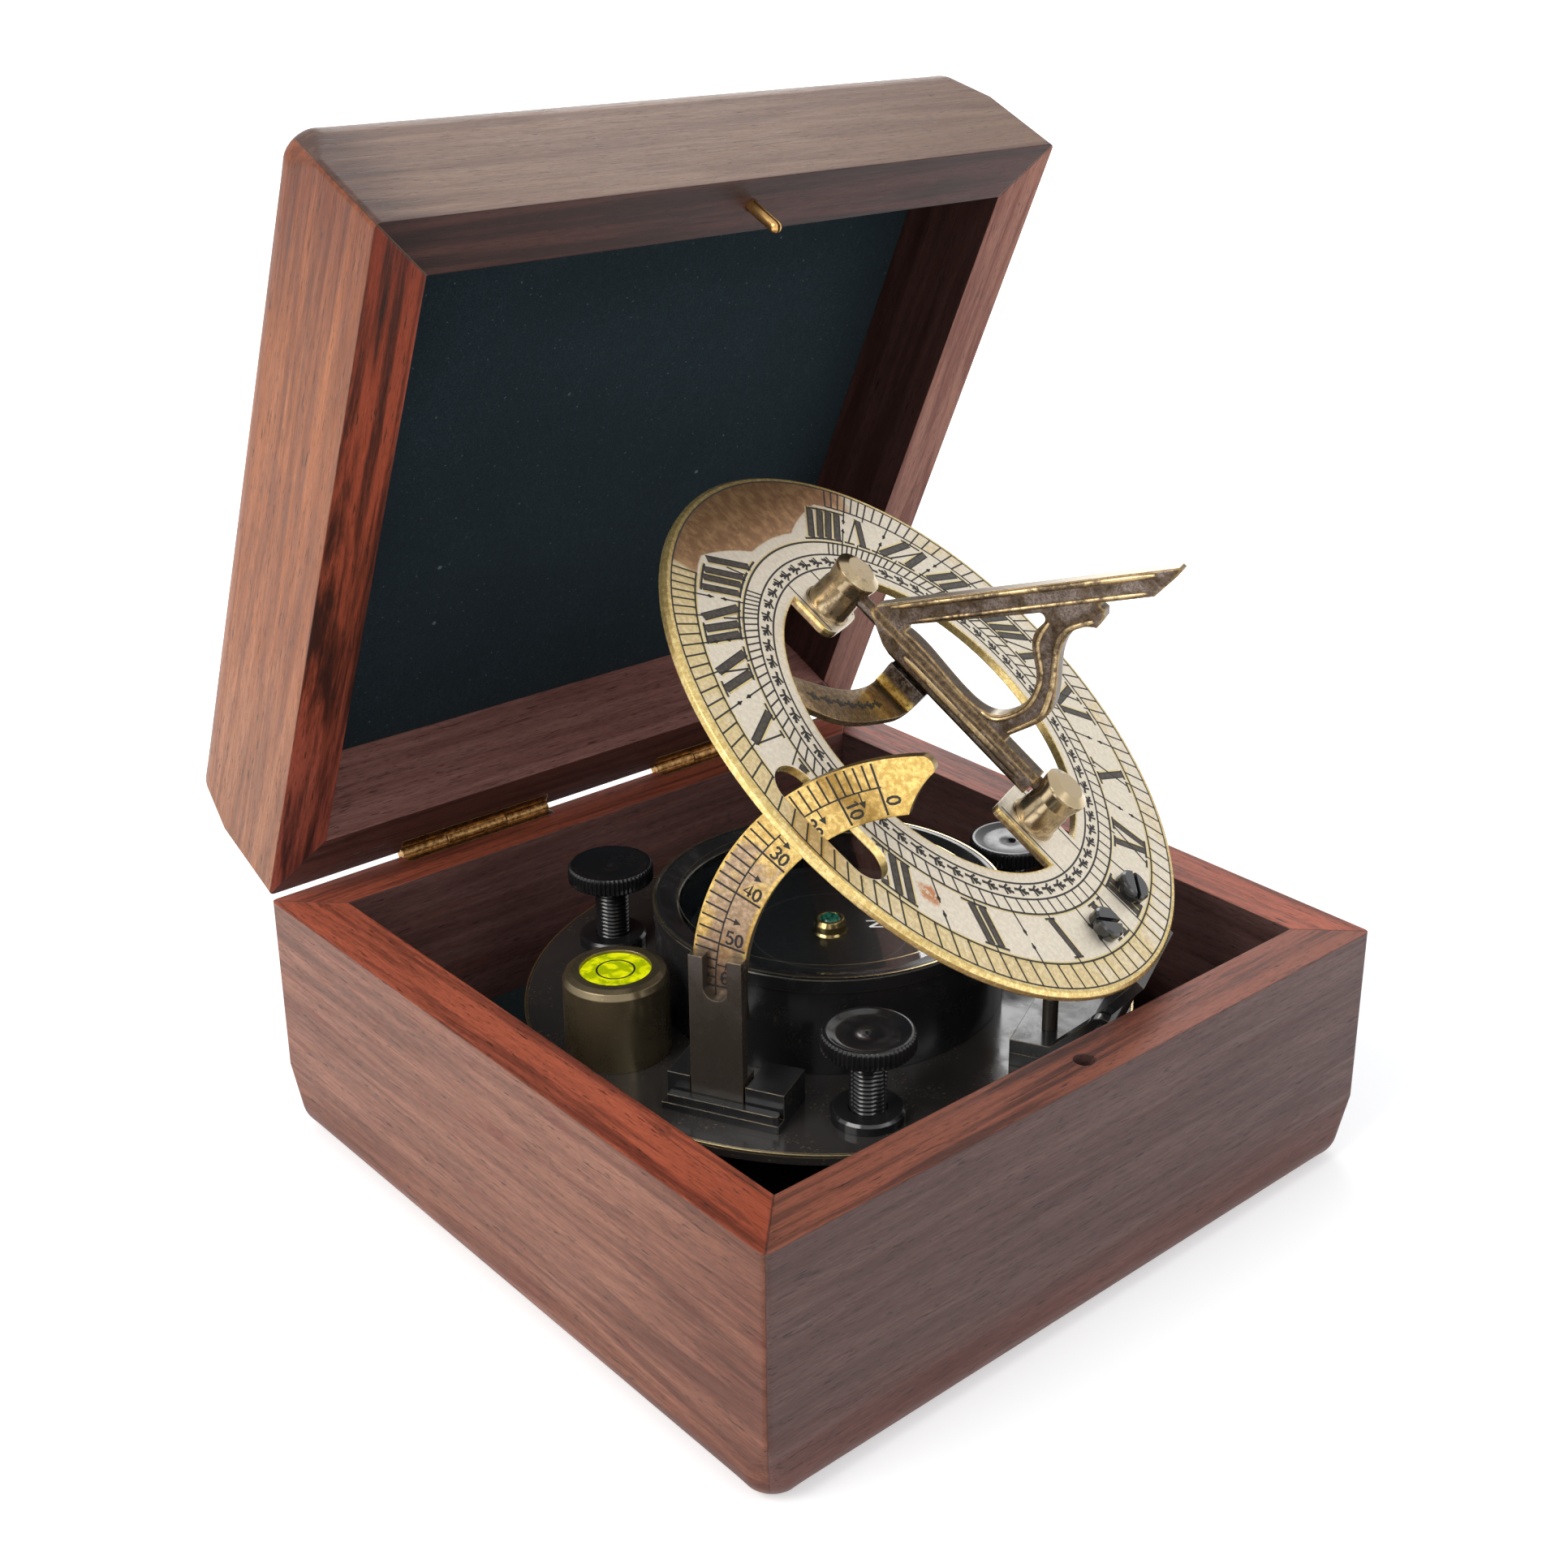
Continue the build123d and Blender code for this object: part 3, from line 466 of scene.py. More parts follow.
def jewel_paint():
    p = Paint("green_jewel", INSTRUMENT)
    n = p.noise(1.6, 3, 0.6)
    c = p.mix(p.ramp(n, 0.4, 0.6), (0.004, 0.09, 0.06), (0.03, 0.30, 0.20))
    return p.out(c, 0.1, 0.0, None, Coat_Weight=0.6)


def beside(points, i):
    # unit vector to the left of a line of points, at one of them
    x0, y0 = points[max(i - 1, 0)][:2]
    x1, y1 = points[min(i + 1, len(points) - 1)][:2]
    d = hypot(x1 - x0, y1 - y0) or 1
    return -(y1 - y0) / d, (x1 - x0) / d


class Shape:
    # flat and solid shapes in a local frame, in millimetres
    def __init__(self):
        self.v = []
        self.f = []

    def add(self, points, faces):
        k = len(self.v)
        self.v += points
        self.f += [tuple(k + i for i in face) for face in faces]

    def flat(self, points, z):
        # a filled outline, its triangles all turned to face +z
        fixed = []
        for t in tessellate_polygon([[Vector((x, y, 0)) for x, y in points]]):
            (ax, ay), (bx, by), (cx, cy) = (points[i] for i in t)
            fixed.append(t if (bx - ax) * (cy - ay) - (cx - ax) * (by - ay) > 0 else t[::-1])
        self.add([(x, y, z) for x, y in points], fixed)

    def taper(self, points, height):
        # a flat band along points of (x, y, width), at the height that height(y) gives
        left = []
        right = []
        for i, (x, y, w) in enumerate(points):
            nx, ny = beside(points, i)
            left.append((x + nx * w / 2, y + ny * w / 2, height(y)))
            right.append((x - nx * w / 2, y - ny * w / 2, height(y)))
        n = len(points)
        self.add(left + right, [(n + i, n + i + 1, i + 1, i) for i in range(n - 1)])

    def stroke(self, points, width, z):
        self.taper([(x, y, width) for x, y in points], lambda _: z)

    def ring(self, r0, r1, z, n=160):
        pts = []
        for i in range(n + 1):
            a = 2 * pi * i / n
            pts += [(r0 * cos(a), r0 * sin(a), z), (r1 * cos(a), r1 * sin(a), z)]
        self.add(pts, [(2 * i, 2 * i + 1, 2 * i + 3, 2 * i + 2) for i in range(n)])

    def lathe(self, profile, n, radius=None):
        # a turned form of n steps, which radius(r, z, angle) may alter
        pts = []
        for i in range(n):
            a = 2 * pi * i / n
            for r, z in profile:
                q = radius(r, z, a) if radius else r
                pts.append((q * cos(a), q * sin(a), z))
        m = len(profile)
        faces = []
        for i in range(n):
            j = (i + 1) % n
            for k in range(m - 1):
                faces.append((i * m + k, j * m + k, j * m + k + 1, i * m + k + 1))
        self.add(pts, faces)

    def piece(self, name, place, material, body, smooth=None):
        # smooth is the angle in degrees above which an edge stays sharp
        mesh = bpy.data.meshes.new(name)
        mesh.from_pydata([place @ (Vector(p) * MM) for p in self.v], [], self.f)
        mesh.validate()
        ob = bpy.data.objects.new(name, mesh)
        bpy.context.scene.collection.objects.link(ob)
        mesh.materials.append(material)
        if smooth:
            bm = bmesh.new()
            bm.from_mesh(mesh)
            bmesh.ops.remove_doubles(bm, verts=bm.verts, dist=1e-6)
            bmesh.ops.recalc_face_normals(bm, faces=bm.faces)
            bm.to_mesh(mesh)
            bm.free()
            mesh.shade_smooth()
            mesh.set_sharp_from_angle(angle=radians(smooth))
        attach(ob, body)
        return ob


# Materials: three tones of each wood, dark to light, then the boards and metals
DEEP = (0.062, 0.028, 0.024)
PLUM = (0.100, 0.050, 0.044)
DUSK = (0.140, 0.078, 0.068)
RED = (0.440, 0.108, 0.058)
RED_DARK = (0.180, 0.045, 0.027)
TAN_D = (0.110, 0.038, 0.022)
TAN_M = (0.220, 0.088, 0.054)
TAN_L = (0.350, 0.158, 0.104)
BROWN_D = (0.120, 0.064, 0.044)
BROWN_M = (0.175, 0.100, 0.068)
BROWN_L = (0.230, 0.138, 0.092)

# the ny tints on the front and back boards lighten their inner faces: painted light
wood_front = wood("wood_front", CASE, "X", DEEP, PLUM, DUSK, (0.25, 0.080, 0.050), (0.085, 0.030, 0.022), 1.0, 0.45,
                  tints=[("z", 18, 4, (1.25, 0.80, 0.66), 0.9), ("ny", 0.5, 0.9, (1.7, 1.6, 1.6), 1.0)])
wood_back = wood("wood_back", CASE, "X", DEEP, PLUM, DUSK, RED, RED_DARK, 2.0, 0.3,
                 tints=[("ny", -0.5, -0.9, (1.6, 1.5, 1.5), 1.0)])
wood_left = wood("wood_left", CASE, "Y", TAN_D, TAN_M, TAN_L, RED, RED_DARK, 3.0, 0.7,
                 tints=[("y", -15, -75, (0.64, 0.50, 0.43), 1.0), ("z", 18, 4, (0.82, 0.64, 0.52), 0.9)])
wood_right = wood("wood_right", CASE, "Y", DEEP, PLUM, DUSK, RED, RED_DARK, 4.0, 0.4)
lid_front = wood("lid_front", LID, "X", BROWN_D, BROWN_M, BROWN_L, (0.070, 0.028, 0.024), (0.030, 0.013, 0.011),
                 5.0, 0.3, (0.30, 0.20, 0.13), [("x", -56, -72, (0.42, 0.34, 0.36), 1.0)])
# the nx tints on the lid's left and right boards darken their inner faces: painted shade
lid_left = wood("lid_left", LID, "Y", (0.130, 0.034, 0.010), (0.255, 0.078, 0.025), (0.400, 0.132, 0.045),
                (0.36, 0.072, 0.034), (0.045, 0.012, 0.008), 6.0, 0.3,
                tints=[("y", -30, -72, (0.58, 0.46, 0.42), 1.0), ("y", 10, 60, (1.02, 1.22, 1.6), 1.0),
                       ("nx", 0.5, 0.9, (0.4, 0.4, 0.4), 1.0)])
lid_right = wood("lid_right", LID, "Y", TAN_D, TAN_M, TAN_L, (0.36, 0.15, 0.10), RED_DARK, 7.0, 0.3,
                 tints=[("nx", -0.5, -0.9, (0.22, 0.21, 0.26), 1.0)])
lid_back = wood("lid_back", LID, "X", (0.260, 0.105, 0.085), (0.390, 0.170, 0.140), (0.500, 0.240, 0.200),
                (0.12, 0.045, 0.034), (0.05, 0.020, 0.016), 8.0, 0.3)
lid_top = wood("lid_top", LID, "X", BROWN_D, BROWN_M, BROWN_L, (0.160, 0.085, 0.062), (0.08, 0.038, 0.030),
               9.0, 0.3, None)
floor_wood = wood("floor_wood", CASE, "X", DEEP, PLUM, DUSK, (0.16, 0.07, 0.05), RED_DARK, 10.0, 0.3, None)

black = lacquer("black_lacquer")
black_plate = lacquer("plate_lacquer", (0.036, 0.032, 0.030), 0.10, 0.4, (0.62, 0.46, 0.20), 0.9)
black_knob = lacquer("knob_lacquer", (0.013, 0.013, 0.014), 0.12, 0.15, (0.22, 0.21, 0.19), 0.12, 0.2)
bronze = lacquer("level_bronze", (0.24, 0.19, 0.11), 0.22, 0.5, (0.50, 0.38, 0.19), 0.5, 0.3, 0.8)
post_metal = lacquer("post_bronze", (0.042, 0.034, 0.027), 0.22, 0.5, (0.34, 0.22, 0.12), 0.7)
hinge_brass = hinge_paint("hinge_brass", CASE)
leaf_brass = hinge_paint("leaf_brass", LID)
lid_brass = brass("lid_brass", LID, (0.60, 0.36, 0.13), (0.17, 0.09, 0.04), 0.45)
cast_brass = cast_paint()
post_brass = brass("post_brass", SEAT, (0.46, 0.36, 0.22), (0.20, 0.14, 0.085), 0.35, 0.20, 0.25)
cam_brass = cam_paint()
cap_brass = brass("cap_brass", INSTRUMENT, (0.62, 0.48, 0.20), (0.2, 0.13, 0.06), 0.3, 0.2)
nut_brass = brass("nut_brass", SEAT, (0.30, 0.24, 0.15), (0.10, 0.08, 0.06), 0.6, 0.3)
steel = brass("pivot_steel", INSTRUMENT, (0.5, 0.5, 0.52), (0.2, 0.2, 0.2), 0.3, 0.2)
ink = plain("engraving", (0.016, 0.013, 0.011), 0.6, 0.0, 2.0, 0.4)
# painted highlight: brass lines laid beside the engraved strokes
gold_glint_line = brass("engraving_edge", SEAT, (0.72, 0.58, 0.27), (0.40, 0.28, 0.12), 0.3, 0.3)
# painted glow: the north letter's paint also gives off light, though it is no lamp
white_ink_glow = plain("white_mark_glow", (0.85, 0.85, 0.83), 0.6, 0.0, 2.0, 0.1,
                  Emission_Color=(0.9, 0.9, 0.88), Emission_Strength=0.5)
grey_ink = plain("grey_mark", (0.09, 0.09, 0.09), 0.6, 0.0, 2.0, 0.2)
card_black = plain("card_black", (0.010, 0.010, 0.010), 0.5, 0.0, 0.8, 0.5)

finishes = [
    (wood_front, "base_wall_front"), (wood_back, "base_wall_back"), (wood_left, "base_wall_left"),
    (wood_right, "base_wall_right"), (floor_wood, "base_floor base_insert"), (lid_front, "lid_wall_front"),
    (lid_left, "lid_wall_left"), (lid_right, "lid_wall_right"), (lid_back, "lid_wall_back"), (lid_top, "lid_panel"),
    (hinge_brass, "hinge_base_leaf_left hinge_base_leaf_right hinge_pin_left hinge_pin_right"),
    (leaf_brass, "hinge_lid_leaf_left hinge_lid_leaf_right"), (lid_brass, "latch_pin"), (black_plate, "base_plate"),
    (black_knob, "screw_boss_front screw_boss_right screw_boss_back dial_screw_west dial_screw_east"),
    (black_knob, "levelling_screw_front levelling_screw_right levelling_screw_back"),
    (black, "compass_bowl compass_bezel arc_foot arc_pivot_pin arc_stop_bar bracket_base dial_bracket dial_leaf"),
    (steel, "compass_pivot compass_magnet"), (card_black, "compass_card"), (cap_brass, "card_cap"),
    (jewel_paint(), "card_jewel"), (glass_paint("compass_glass", (1.0, 1.0, 1.0)), "compass_glass"),
    (bronze, "level_body"), (green_liquid(), "level_liquid"),
    (glass_paint("level_window", (1.0, 1.0, 0.97)), "level_window"), (arc_paint(), "latitude_arc"),
    (post_metal, "arc_post dial_hinge_pin bracket_stud"), (dial_paint(), "dial_plate"),
    (post_brass, "gnomon_post_north gnomon_post_south"), (nut_brass, "post_nut_north post_nut_south"),
    (cast_brass, "gnomon"), (cam_brass, "gnomon_cam"),
]
for material, names in finishes:
    for name in names.split():
        nodes[name].data.materials.clear()
        nodes[name].data.materials.append(material)


# Dial engraving, in the dial's frame
def spot(r, angle):
    return (r * cos(radians(angle)), r * sin(radians(angle)))


def in_slot(x, y):
    # the slot for the arc lies in the hinge leaf's frame
    a = radians(SEAT_TURN)
    px = x * cos(a) - y * sin(a) + SEAT_SHIFT[0]
    py = x * sin(a) + y * cos(a) + SEAT_SHIFT[1]
    return hypot(max(abs(px + 1.6) - 7.4, 0), py + 45.5) < 4.6


def bars(shape, points, width, z):
    # a stroke left out where the plate is cut away
    run = []
    for (x0, y0), (x1, y1) in zip(points, points[1:]):
        n = max(1, ceil(hypot(x1 - x0, y1 - y0) / 0.5))
        for i in range(n + 1):
            q = (x0 + (x1 - x0) * i / n, y0 + (y1 - y0) * i / n)
            if in_slot(*q):
                if len(run) > 1:
                    shape.stroke(run, width, z)
                run = []
            elif not run or run[-1] != q:
                run.append(q)
    if len(run) > 1:
        shape.stroke(run, width, z)


def along(p, q, r):
    # where the line from p through q meets the circle of radius r
    dx, dy = q[0] - p[0], q[1] - p[1]
    k = hypot(dx, dy)
    dx, dy = dx / k, dy / k
    dot = p[0] * dx + p[1] * dy
    t = -dot + sqrt(dot * dot - p[0] ** 2 - p[1] ** 2 + r * r)
    return (p[0] + dx * t, p[1] + dy * t)


# hour lines, from noon, by their angles at the inner and outer scales
AFTERNOON = [(-2.05, -2.05), (-26.6, -24.8), (-51.5, -47.6), (-75.9, -70.3), (-96.4, -88.7), (-115.2, -108.4),
             (-132.0, -125.0), (-146.0, -139.5), (-157.1, -151.8)]
MORNING = [(3.7, 3.7), (27.4, 26.0), (50.6, 47.7), (72.9, 68.6), (95.0, 88.3), (114.5, 107.0), (131.0, 123.9),
           (144.1, 137.5), (154.9, 148.5)]
# numerals by their angles: thick strokes, thin strokes with the part of the height that they cross, and serifs at the
# top and bottom
NUMERALS = [
    ([(-26.7, -24.1)], [], [(-28.5, -25.0)], [(-25.9, -22.9)]),
    ([(-52.5, -48.9), (-49.4, -46.4)], [], [(-55.3, -47.8)], [(-50.6, -44.5)]),
    ([(-78.2, -74.0), (-74.6, -70.7), (-71.2, -67.8)], [], [(-80.3, -69.6)], [(-75.3, -66.4)]),
    ([(-101.5, -97.5)], [], [(-103.8, -100.0)], []),
    ([(-116.5, -109.2)], [(-110.4, -108.8, 1)], [(-119.0, -114.3), (-111.5, -109.4)], []),
    ([(-133.6, -125.6), (-127.7, -121.5)], [(-128.9, -125.4, 1)], [(-135.6, -131.5), (-130.4, -125.6)],
     [(-123.4, -119.7)]),
    ([(-148.6, -139.7), (-142.9, -136.5), (-139.5, -133.6)], [(-144.7, -142.4, 0.42)], [(-151.3, -137.7)],
     [(-138.1, -132.5)]),
    ([(-166.5, -158.4), (-161.1, -154.5), (-157.7, -152.0), (-154.0, -148.8)], [(-162.4, -160.3, 0.48)],
     [(-169.8, -164.8), (-163.8, -152.6)], [(-156.3, -147.7)]),
    ([(-7.1, -3.9)], [(-2.7, -7.4, 1)], [(-9.0, -5.3), (-3.8, -1.9)], [(-8.3, -6.5), (-5.5, -2.4)]),
    ([(5.4, 5.4), (8.0, 7.7)], [], [(3.9, 10.4)], [(3.8, 8.8)]),
    ([(24.5, 27.6), (31.5, 29.5)], [(29.7, 23.8, 1)], [(22.1, 26.3), (28.8, 33.1)], [(22.5, 24.8), (25.6, 30.8)]),
    ([(47.1, 50.3)], [(52.1, 46.9, 1)], [(44.6, 48.7), (51.2, 53.5)], [(45.1, 48.2), (48.8, 51.4)]),
    ([(69.4, 66.2), (71.5, 74.6)], [(76.0, 71.0, 1)], [(68.0, 73.0), (75.0, 77.5)],
     [(64.1, 68.0), (70.0, 72.0), (73.0, 76.5)]),
    ([(87.0, 84.5), (95.2, 89.8), (98.2, 92.7), (101.1, 96.4)], [(93.0, 84.7, 1)], [(85.0, 89.0), (92.0, 102.3)],
     [(88.2, 96.8)]),
    ([(106.2, 102.6), (115.2, 108.2), (119.6, 111.4)], [(111.5, 102.9, 1)], [(104.3, 108.2), (110.5, 122.5)],
     [(106.8, 112.8)]),
    ([(126.5, 120.2), (135.2, 125.0)], [(132.0, 120.8, 1)], [(124.0, 129.5), (131.5, 138.4)], [(121.8, 127.0)]),
    ([(141.3, 139.7)], [(146.5, 140.2, 1)], [(139.0, 142.9), (144.4, 147.9)], []),
    ([(150.4, 145.9), (153.8, 148.4), (156.8, 151.1), (160.2, 154.3)], [], [(148.6, 162.9)], [(143.6, 154.7)]),
]
# heights of the layers, radii of the ringed lines, and the numerals' tops and feet
Z_EDGE, Z_FILL, Z_INK = 0.012, 0.026, 0.040
R_LEAF, R_IN, R_MID, R_OUT, R_RIM = 34.9, 38.05, 41.05, 50.85, 55.6
R_TOP, R_FOOT = 42.1, 49.6
SCALE_END = (-152.0, 148.5)
TENS = 6

# edge holds thin brass lines beside the strokes, mostly on one side: painted highlights where the cuts' edges catch
# the light
dark = Shape()
fill = Shape()
edge = Shape()


def ring_line(r, width, a0=0.0, a1=360.0):
    n = int(abs(a1 - a0))
    bars(dark, [spot(r, a0 + (a1 - a0) * i / n) for i in range(n + 1)], width, Z_INK)


def beside_bar(shape, p, q, offset, width, z):
    # a bar beside the one from p to q
    bars(shape, [(p[0] + offset.x, p[1] + offset.y), (q[0] + offset.x, q[1] + offset.y)], width, z)


for r, width in ((R_LEAF, 0.34), (R_IN, 0.34), (R_MID, 0.38), (R_RIM, 0.26)):
    ring_line(r, width)
ring_line(R_OUT, 0.34, *SCALE_END)
for r, a0, a1, width in ((R_MID + 0.32, -180, 181, 0.22), (R_OUT - 0.32, -152, 60, 0.26),
                         (R_OUT + 0.36, -150, 60, 0.36)):
    bars(edge, [spot(r, a) for a in range(a0, a1, 2)], width, Z_EDGE)

# lines every ten minutes, with arrows on the half hours
for side in (AFTERNOON, MORNING):
    for hour in range(8):
        for k in range(TENS if hour < 7 else TENS + 1):
            t = k / TENS
            a_in = side[hour][0] * (1 - t) + side[hour + 1][0] * t
            a_out = side[hour][1] * (1 - t) + side[hour + 1][1] * t
            p = spot(R_MID, a_in)
            q = spot(R_OUT, a_out)
            start = along(p, q, R_IN)
            end = along(p, q, R_RIM)
            bars(dark, [start, p], 0.30, Z_INK)
            bars(dark, [q, end], 0.32, Z_INK)
            d = Vector((q[0] - p[0], q[1] - p[1])).normalized()
            across = Vector((-d.y, d.x))
            # the painted highlight beside the minute lines is kept to the near part of the dial
            if q[1] < 12:
                beside_bar(edge, q, end, across * 0.32, 0.42, Z_EDGE)
            if k == 0 and hour:
                bars(dark, [p, along(p, q, R_TOP)], 0.26, Z_INK)
                bars(dark, [along(p, q, R_FOOT), q], 0.26, Z_INK)
            if k == TENS // 2:
                for a, reach, head in ((p, 45.7, 44.9), (q, 47.1, 47.9)):
                    bars(dark, [a, along(p, q, reach)], 0.28, Z_INK)
                    c = Vector(along(p, q, head))
                    e = d * 0.75
                    f = across * 0.42
                    if not in_slot(*c):
                        dark.flat([tuple(c - e), tuple(c + f), tuple(c + e), tuple(c - f)], Z_INK)
            if k == 0 and hour == 0:
                bars(dark, [p, q], 0.30, Z_INK)

for thick, thin, tops, feet in NUMERALS:
    for top, foot in thick:
        p, q = spot(R_TOP, top), spot(R_FOOT, foot)
        d = Vector((q[0] - p[0], q[1] - p[1])).normalized()
        across = Vector((-d.y, d.x))
        bars(fill, [p, q], 1.45, Z_FILL)
        for side in (-1, 1):
            beside_bar(dark, p, q, across * side * 0.66, 0.26, Z_INK)
        # painted highlight on one side of each thick stroke
        beside_bar(edge, p, q, across * 0.92, 0.42, Z_EDGE)
    for top, foot, part in thin:
        p, q = spot(R_TOP, top), spot(R_TOP + (R_FOOT - R_TOP) * part, foot)
        bars(dark, [p, q], 0.34, Z_INK)
    for r, spans in ((R_TOP - 0.1, tops), (R_FOOT + 0.1, feet)):
        for a, b in spans:
            bars(dark, [spot(r, a + (b - a) * i / 4) for i in range(5)], 0.42, Z_INK)
            bars(edge, [spot(r + 0.34, a + (b - a) * i / 4) for i in range(5)], 0.26, Z_EDGE)

# sprigs round the opening, each a stem with four leaves
SPRIG = [[(0, 0, 0.5), (1.6, -0.1, 0.36), (2.5, -0.5, 0.4), (3.3, -0.7, 0.5)], [(1.2, 0, 0.3), (2.2, 0.8, 0.42)],
         [(1.8, -0.15, 0.3), (2.8, 0.12, 0.38)], [(1.25, -0.2, 0.3), (1.65, -1.35, 0.42)],
         [(1.8, -0.3, 0.3), (2.45, -1.0, 0.38)]]
SPRIG_R, SPRIGS = 36.05, 60

for k in range(SPRIGS):
    a = radians(-4.5 + 360 / SPRIGS * k)
    c, s = cos(a), sin(a)
    for leaf in SPRIG:
        placed = []
        for u, v, w in leaf:
            r = SPRIG_R - v
            placed.append((r * c - u * s, r * s + u * c, w * 1.15))
        dark.taper(placed, lambda _: Z_INK)

# lines on the two tabs
for x0, x1 in ((18.9, 34.7), (-34.7, -23.6)):
    for y in (-4.3, 5.1):
        bars(dark, [(x0, y), (x1, y)], 0.26, Z_INK)


def tongue_top(y):
    # height of the bent tongue
    for (y0, z0), (y1, z1) in zip(TONGUE, TONGUE[1:]):
        if y <= y1:
            return z0 + (z1 - z0) * (y - y0) / (y1 - y0)
    return TONGUE[-1][1]


# the tongue's bends, and the sprigs that run along it
TONGUE = [(-32, -0.1), (-26, -0.1), (-8, -2.1), (-3.6, -2.7), (3.0, -2.7), (6.2, -1.2)]
for k in range(7):
    t = k / 7
    x = -17.6 + 8.6 * (1 - (1 - t) ** 1.7)
    y = -24.6 + 19.0 * t
    h = radians(52 + 34 * t)
    c, s = cos(h), sin(h)
    for leaf in SPRIG:
        placed = []
        for u, v, w in leaf:
            placed.append((x + 0.85 * (u * c - v * s), y + 0.85 * (u * s + v * c), w))
        dark.taper(placed, lambda y: tongue_top(y) + 0.05)

numeral_grey = plain("numeral_fill", (0.068, 0.055, 0.043), 0.42, 0.6, 1.4, 0.35)
dark.piece("dial_engraving", SEAT, ink, "dial")
fill.piece("dial_numerals", SEAT, numeral_grey, "dial")
edge.piece("dial_engraving_edges", SEAT, gold_glint_line, "dial")

# Arc scale
ARC_FACE = INSTRUMENT @ shift(ARC_X, ARC_FACE_Y, ARC_Z) @ turn(90, "X")
DIGITS = {
    "0": [(0.3, 1.0), (0.1, 0.85), (0.03, 0.5), (0.1, 0.15), (0.3, 0.0), (0.5, 0.15), (0.57, 0.5), (0.5, 0.85),
          (0.3, 1.0)],
    "1": [(0.12, 0.76), (0.36, 1.0), (0.36, 0.0)],
    "2": [(0.05, 0.76), (0.12, 0.94), (0.3, 1.0), (0.5, 0.92), (0.56, 0.74), (0.45, 0.5), (0.05, 0.02), (0.62, 0.02)],
    "3": [(0.06, 0.85), (0.2, 0.99), (0.42, 0.98), (0.55, 0.8), (0.45, 0.58), (0.28, 0.53), (0.48, 0.46), (0.58, 0.25),
          (0.45, 0.04), (0.2, 0.0), (0.04, 0.14)],
    "4": [(0.46, 0.0), (0.46, 1.0), (0.0, 0.3), (0.64, 0.3)],
    "5": [(0.54, 1.0), (0.12, 1.0), (0.07, 0.55), (0.3, 0.62), (0.52, 0.5), (0.57, 0.28), (0.45, 0.05), (0.2, 0.0),
          (0.03, 0.13)],
    "6": [(0.5, 0.88), (0.32, 1.0), (0.12, 0.8), (0.05, 0.4), (0.12, 0.08), (0.32, 0.0), (0.52, 0.12), (0.56, 0.34),
          (0.42, 0.54), (0.2, 0.5), (0.08, 0.32)],
}
# each ten degrees of the scale with its place on the arc
DECADES = [(0, 69.5), (10, 59.8), (20, 48.3), (30, 36.9), (40, 24.6), (50, 11.0), (60, 0.4), (70, -10.0)]
DIGIT_HIGH, DIGIT_WIDE = 2.3, 1.656
ARC_IN, ARC_LINE, ARC_OUT = 39.3, 44.0, 48.1
scale = Shape()


def on_arc(r, angle):
    return (-r * cos(radians(angle)), r * sin(radians(angle)))


scale.stroke([on_arc(ARC_LINE, -6 + 76 * i / 60) for i in range(61)], 0.26, 0.03)
for (value, a), (_, following) in zip(DECADES, DECADES[1:]):
    scale.stroke([on_arc(ARC_IN, a), on_arc(ARC_OUT, a)], 0.38, 0.035)
    step = (following - a) / 5
    for k in range(1, 5):
        scale.stroke([on_arc(ARC_LINE, a + step * k), on_arc(ARC_OUT, a + step * k)], 0.34, 0.03)
    mid = a + step * 2.5
    scale.stroke([on_arc(ARC_LINE, mid), on_arc(42.2, mid)], 0.24, 0.03)
    scale.flat([on_arc(42.4, mid - 0.9), on_arc(41.2, mid), on_arc(42.4, mid + 0.9)], 0.03)
    text = str(value)
    middle = on_arc(41.5, a + 2.4)
    c, s = cos(radians(a)), sin(radians(a))
    for i, digit in enumerate(text):
        x0 = (i - len(text) / 2) * DIGIT_WIDE + 0.05 * DIGIT_HIGH
        points = []
        for u, v in DIGITS[digit]:
            px, py = x0 + u * DIGIT_HIGH * 0.95, (v - 0.5) * DIGIT_HIGH
            points.append((middle[0] + px * c + py * s, middle[1] - px * s + py * c))
        scale.stroke(points, 0.46, 0.03)
scale.piece("arc_scale", ARC_FACE, ink, "base")

# Compass card: its north letter, drawn by radius and distance across and given a painted glow, and two faint circles
card_marks = Shape()
CARD_PLACE = INSTRUMENT @ shift(0, 0, CARD_TOP)
north = radians(CARD_NORTH)
for a, b, w in (((7.5, 1.3), (10.5, 1.3), 0.38), ((10.5, 1.3), (7.5, -1.2), 0.62), ((7.5, -1.2), (10.5, -1.2), 0.38)):
    pts = []
    for r, t in (a, b):
        t -= (r - 9) * 0.25
        pts.append((r * cos(north) - t * sin(north), r * sin(north) + t * cos(north)))
    card_marks.stroke(pts, w, 0.03)
card_marks.piece("card_letter", CARD_PLACE, white_ink_glow, "card")
card_ring = Shape()
card_ring.ring(14.6, 14.85, 0.03)
card_ring.ring(24.9, 25.1, 0.03)
card_ring.piece("card_circles", CARD_PLACE, grey_ink, "card")

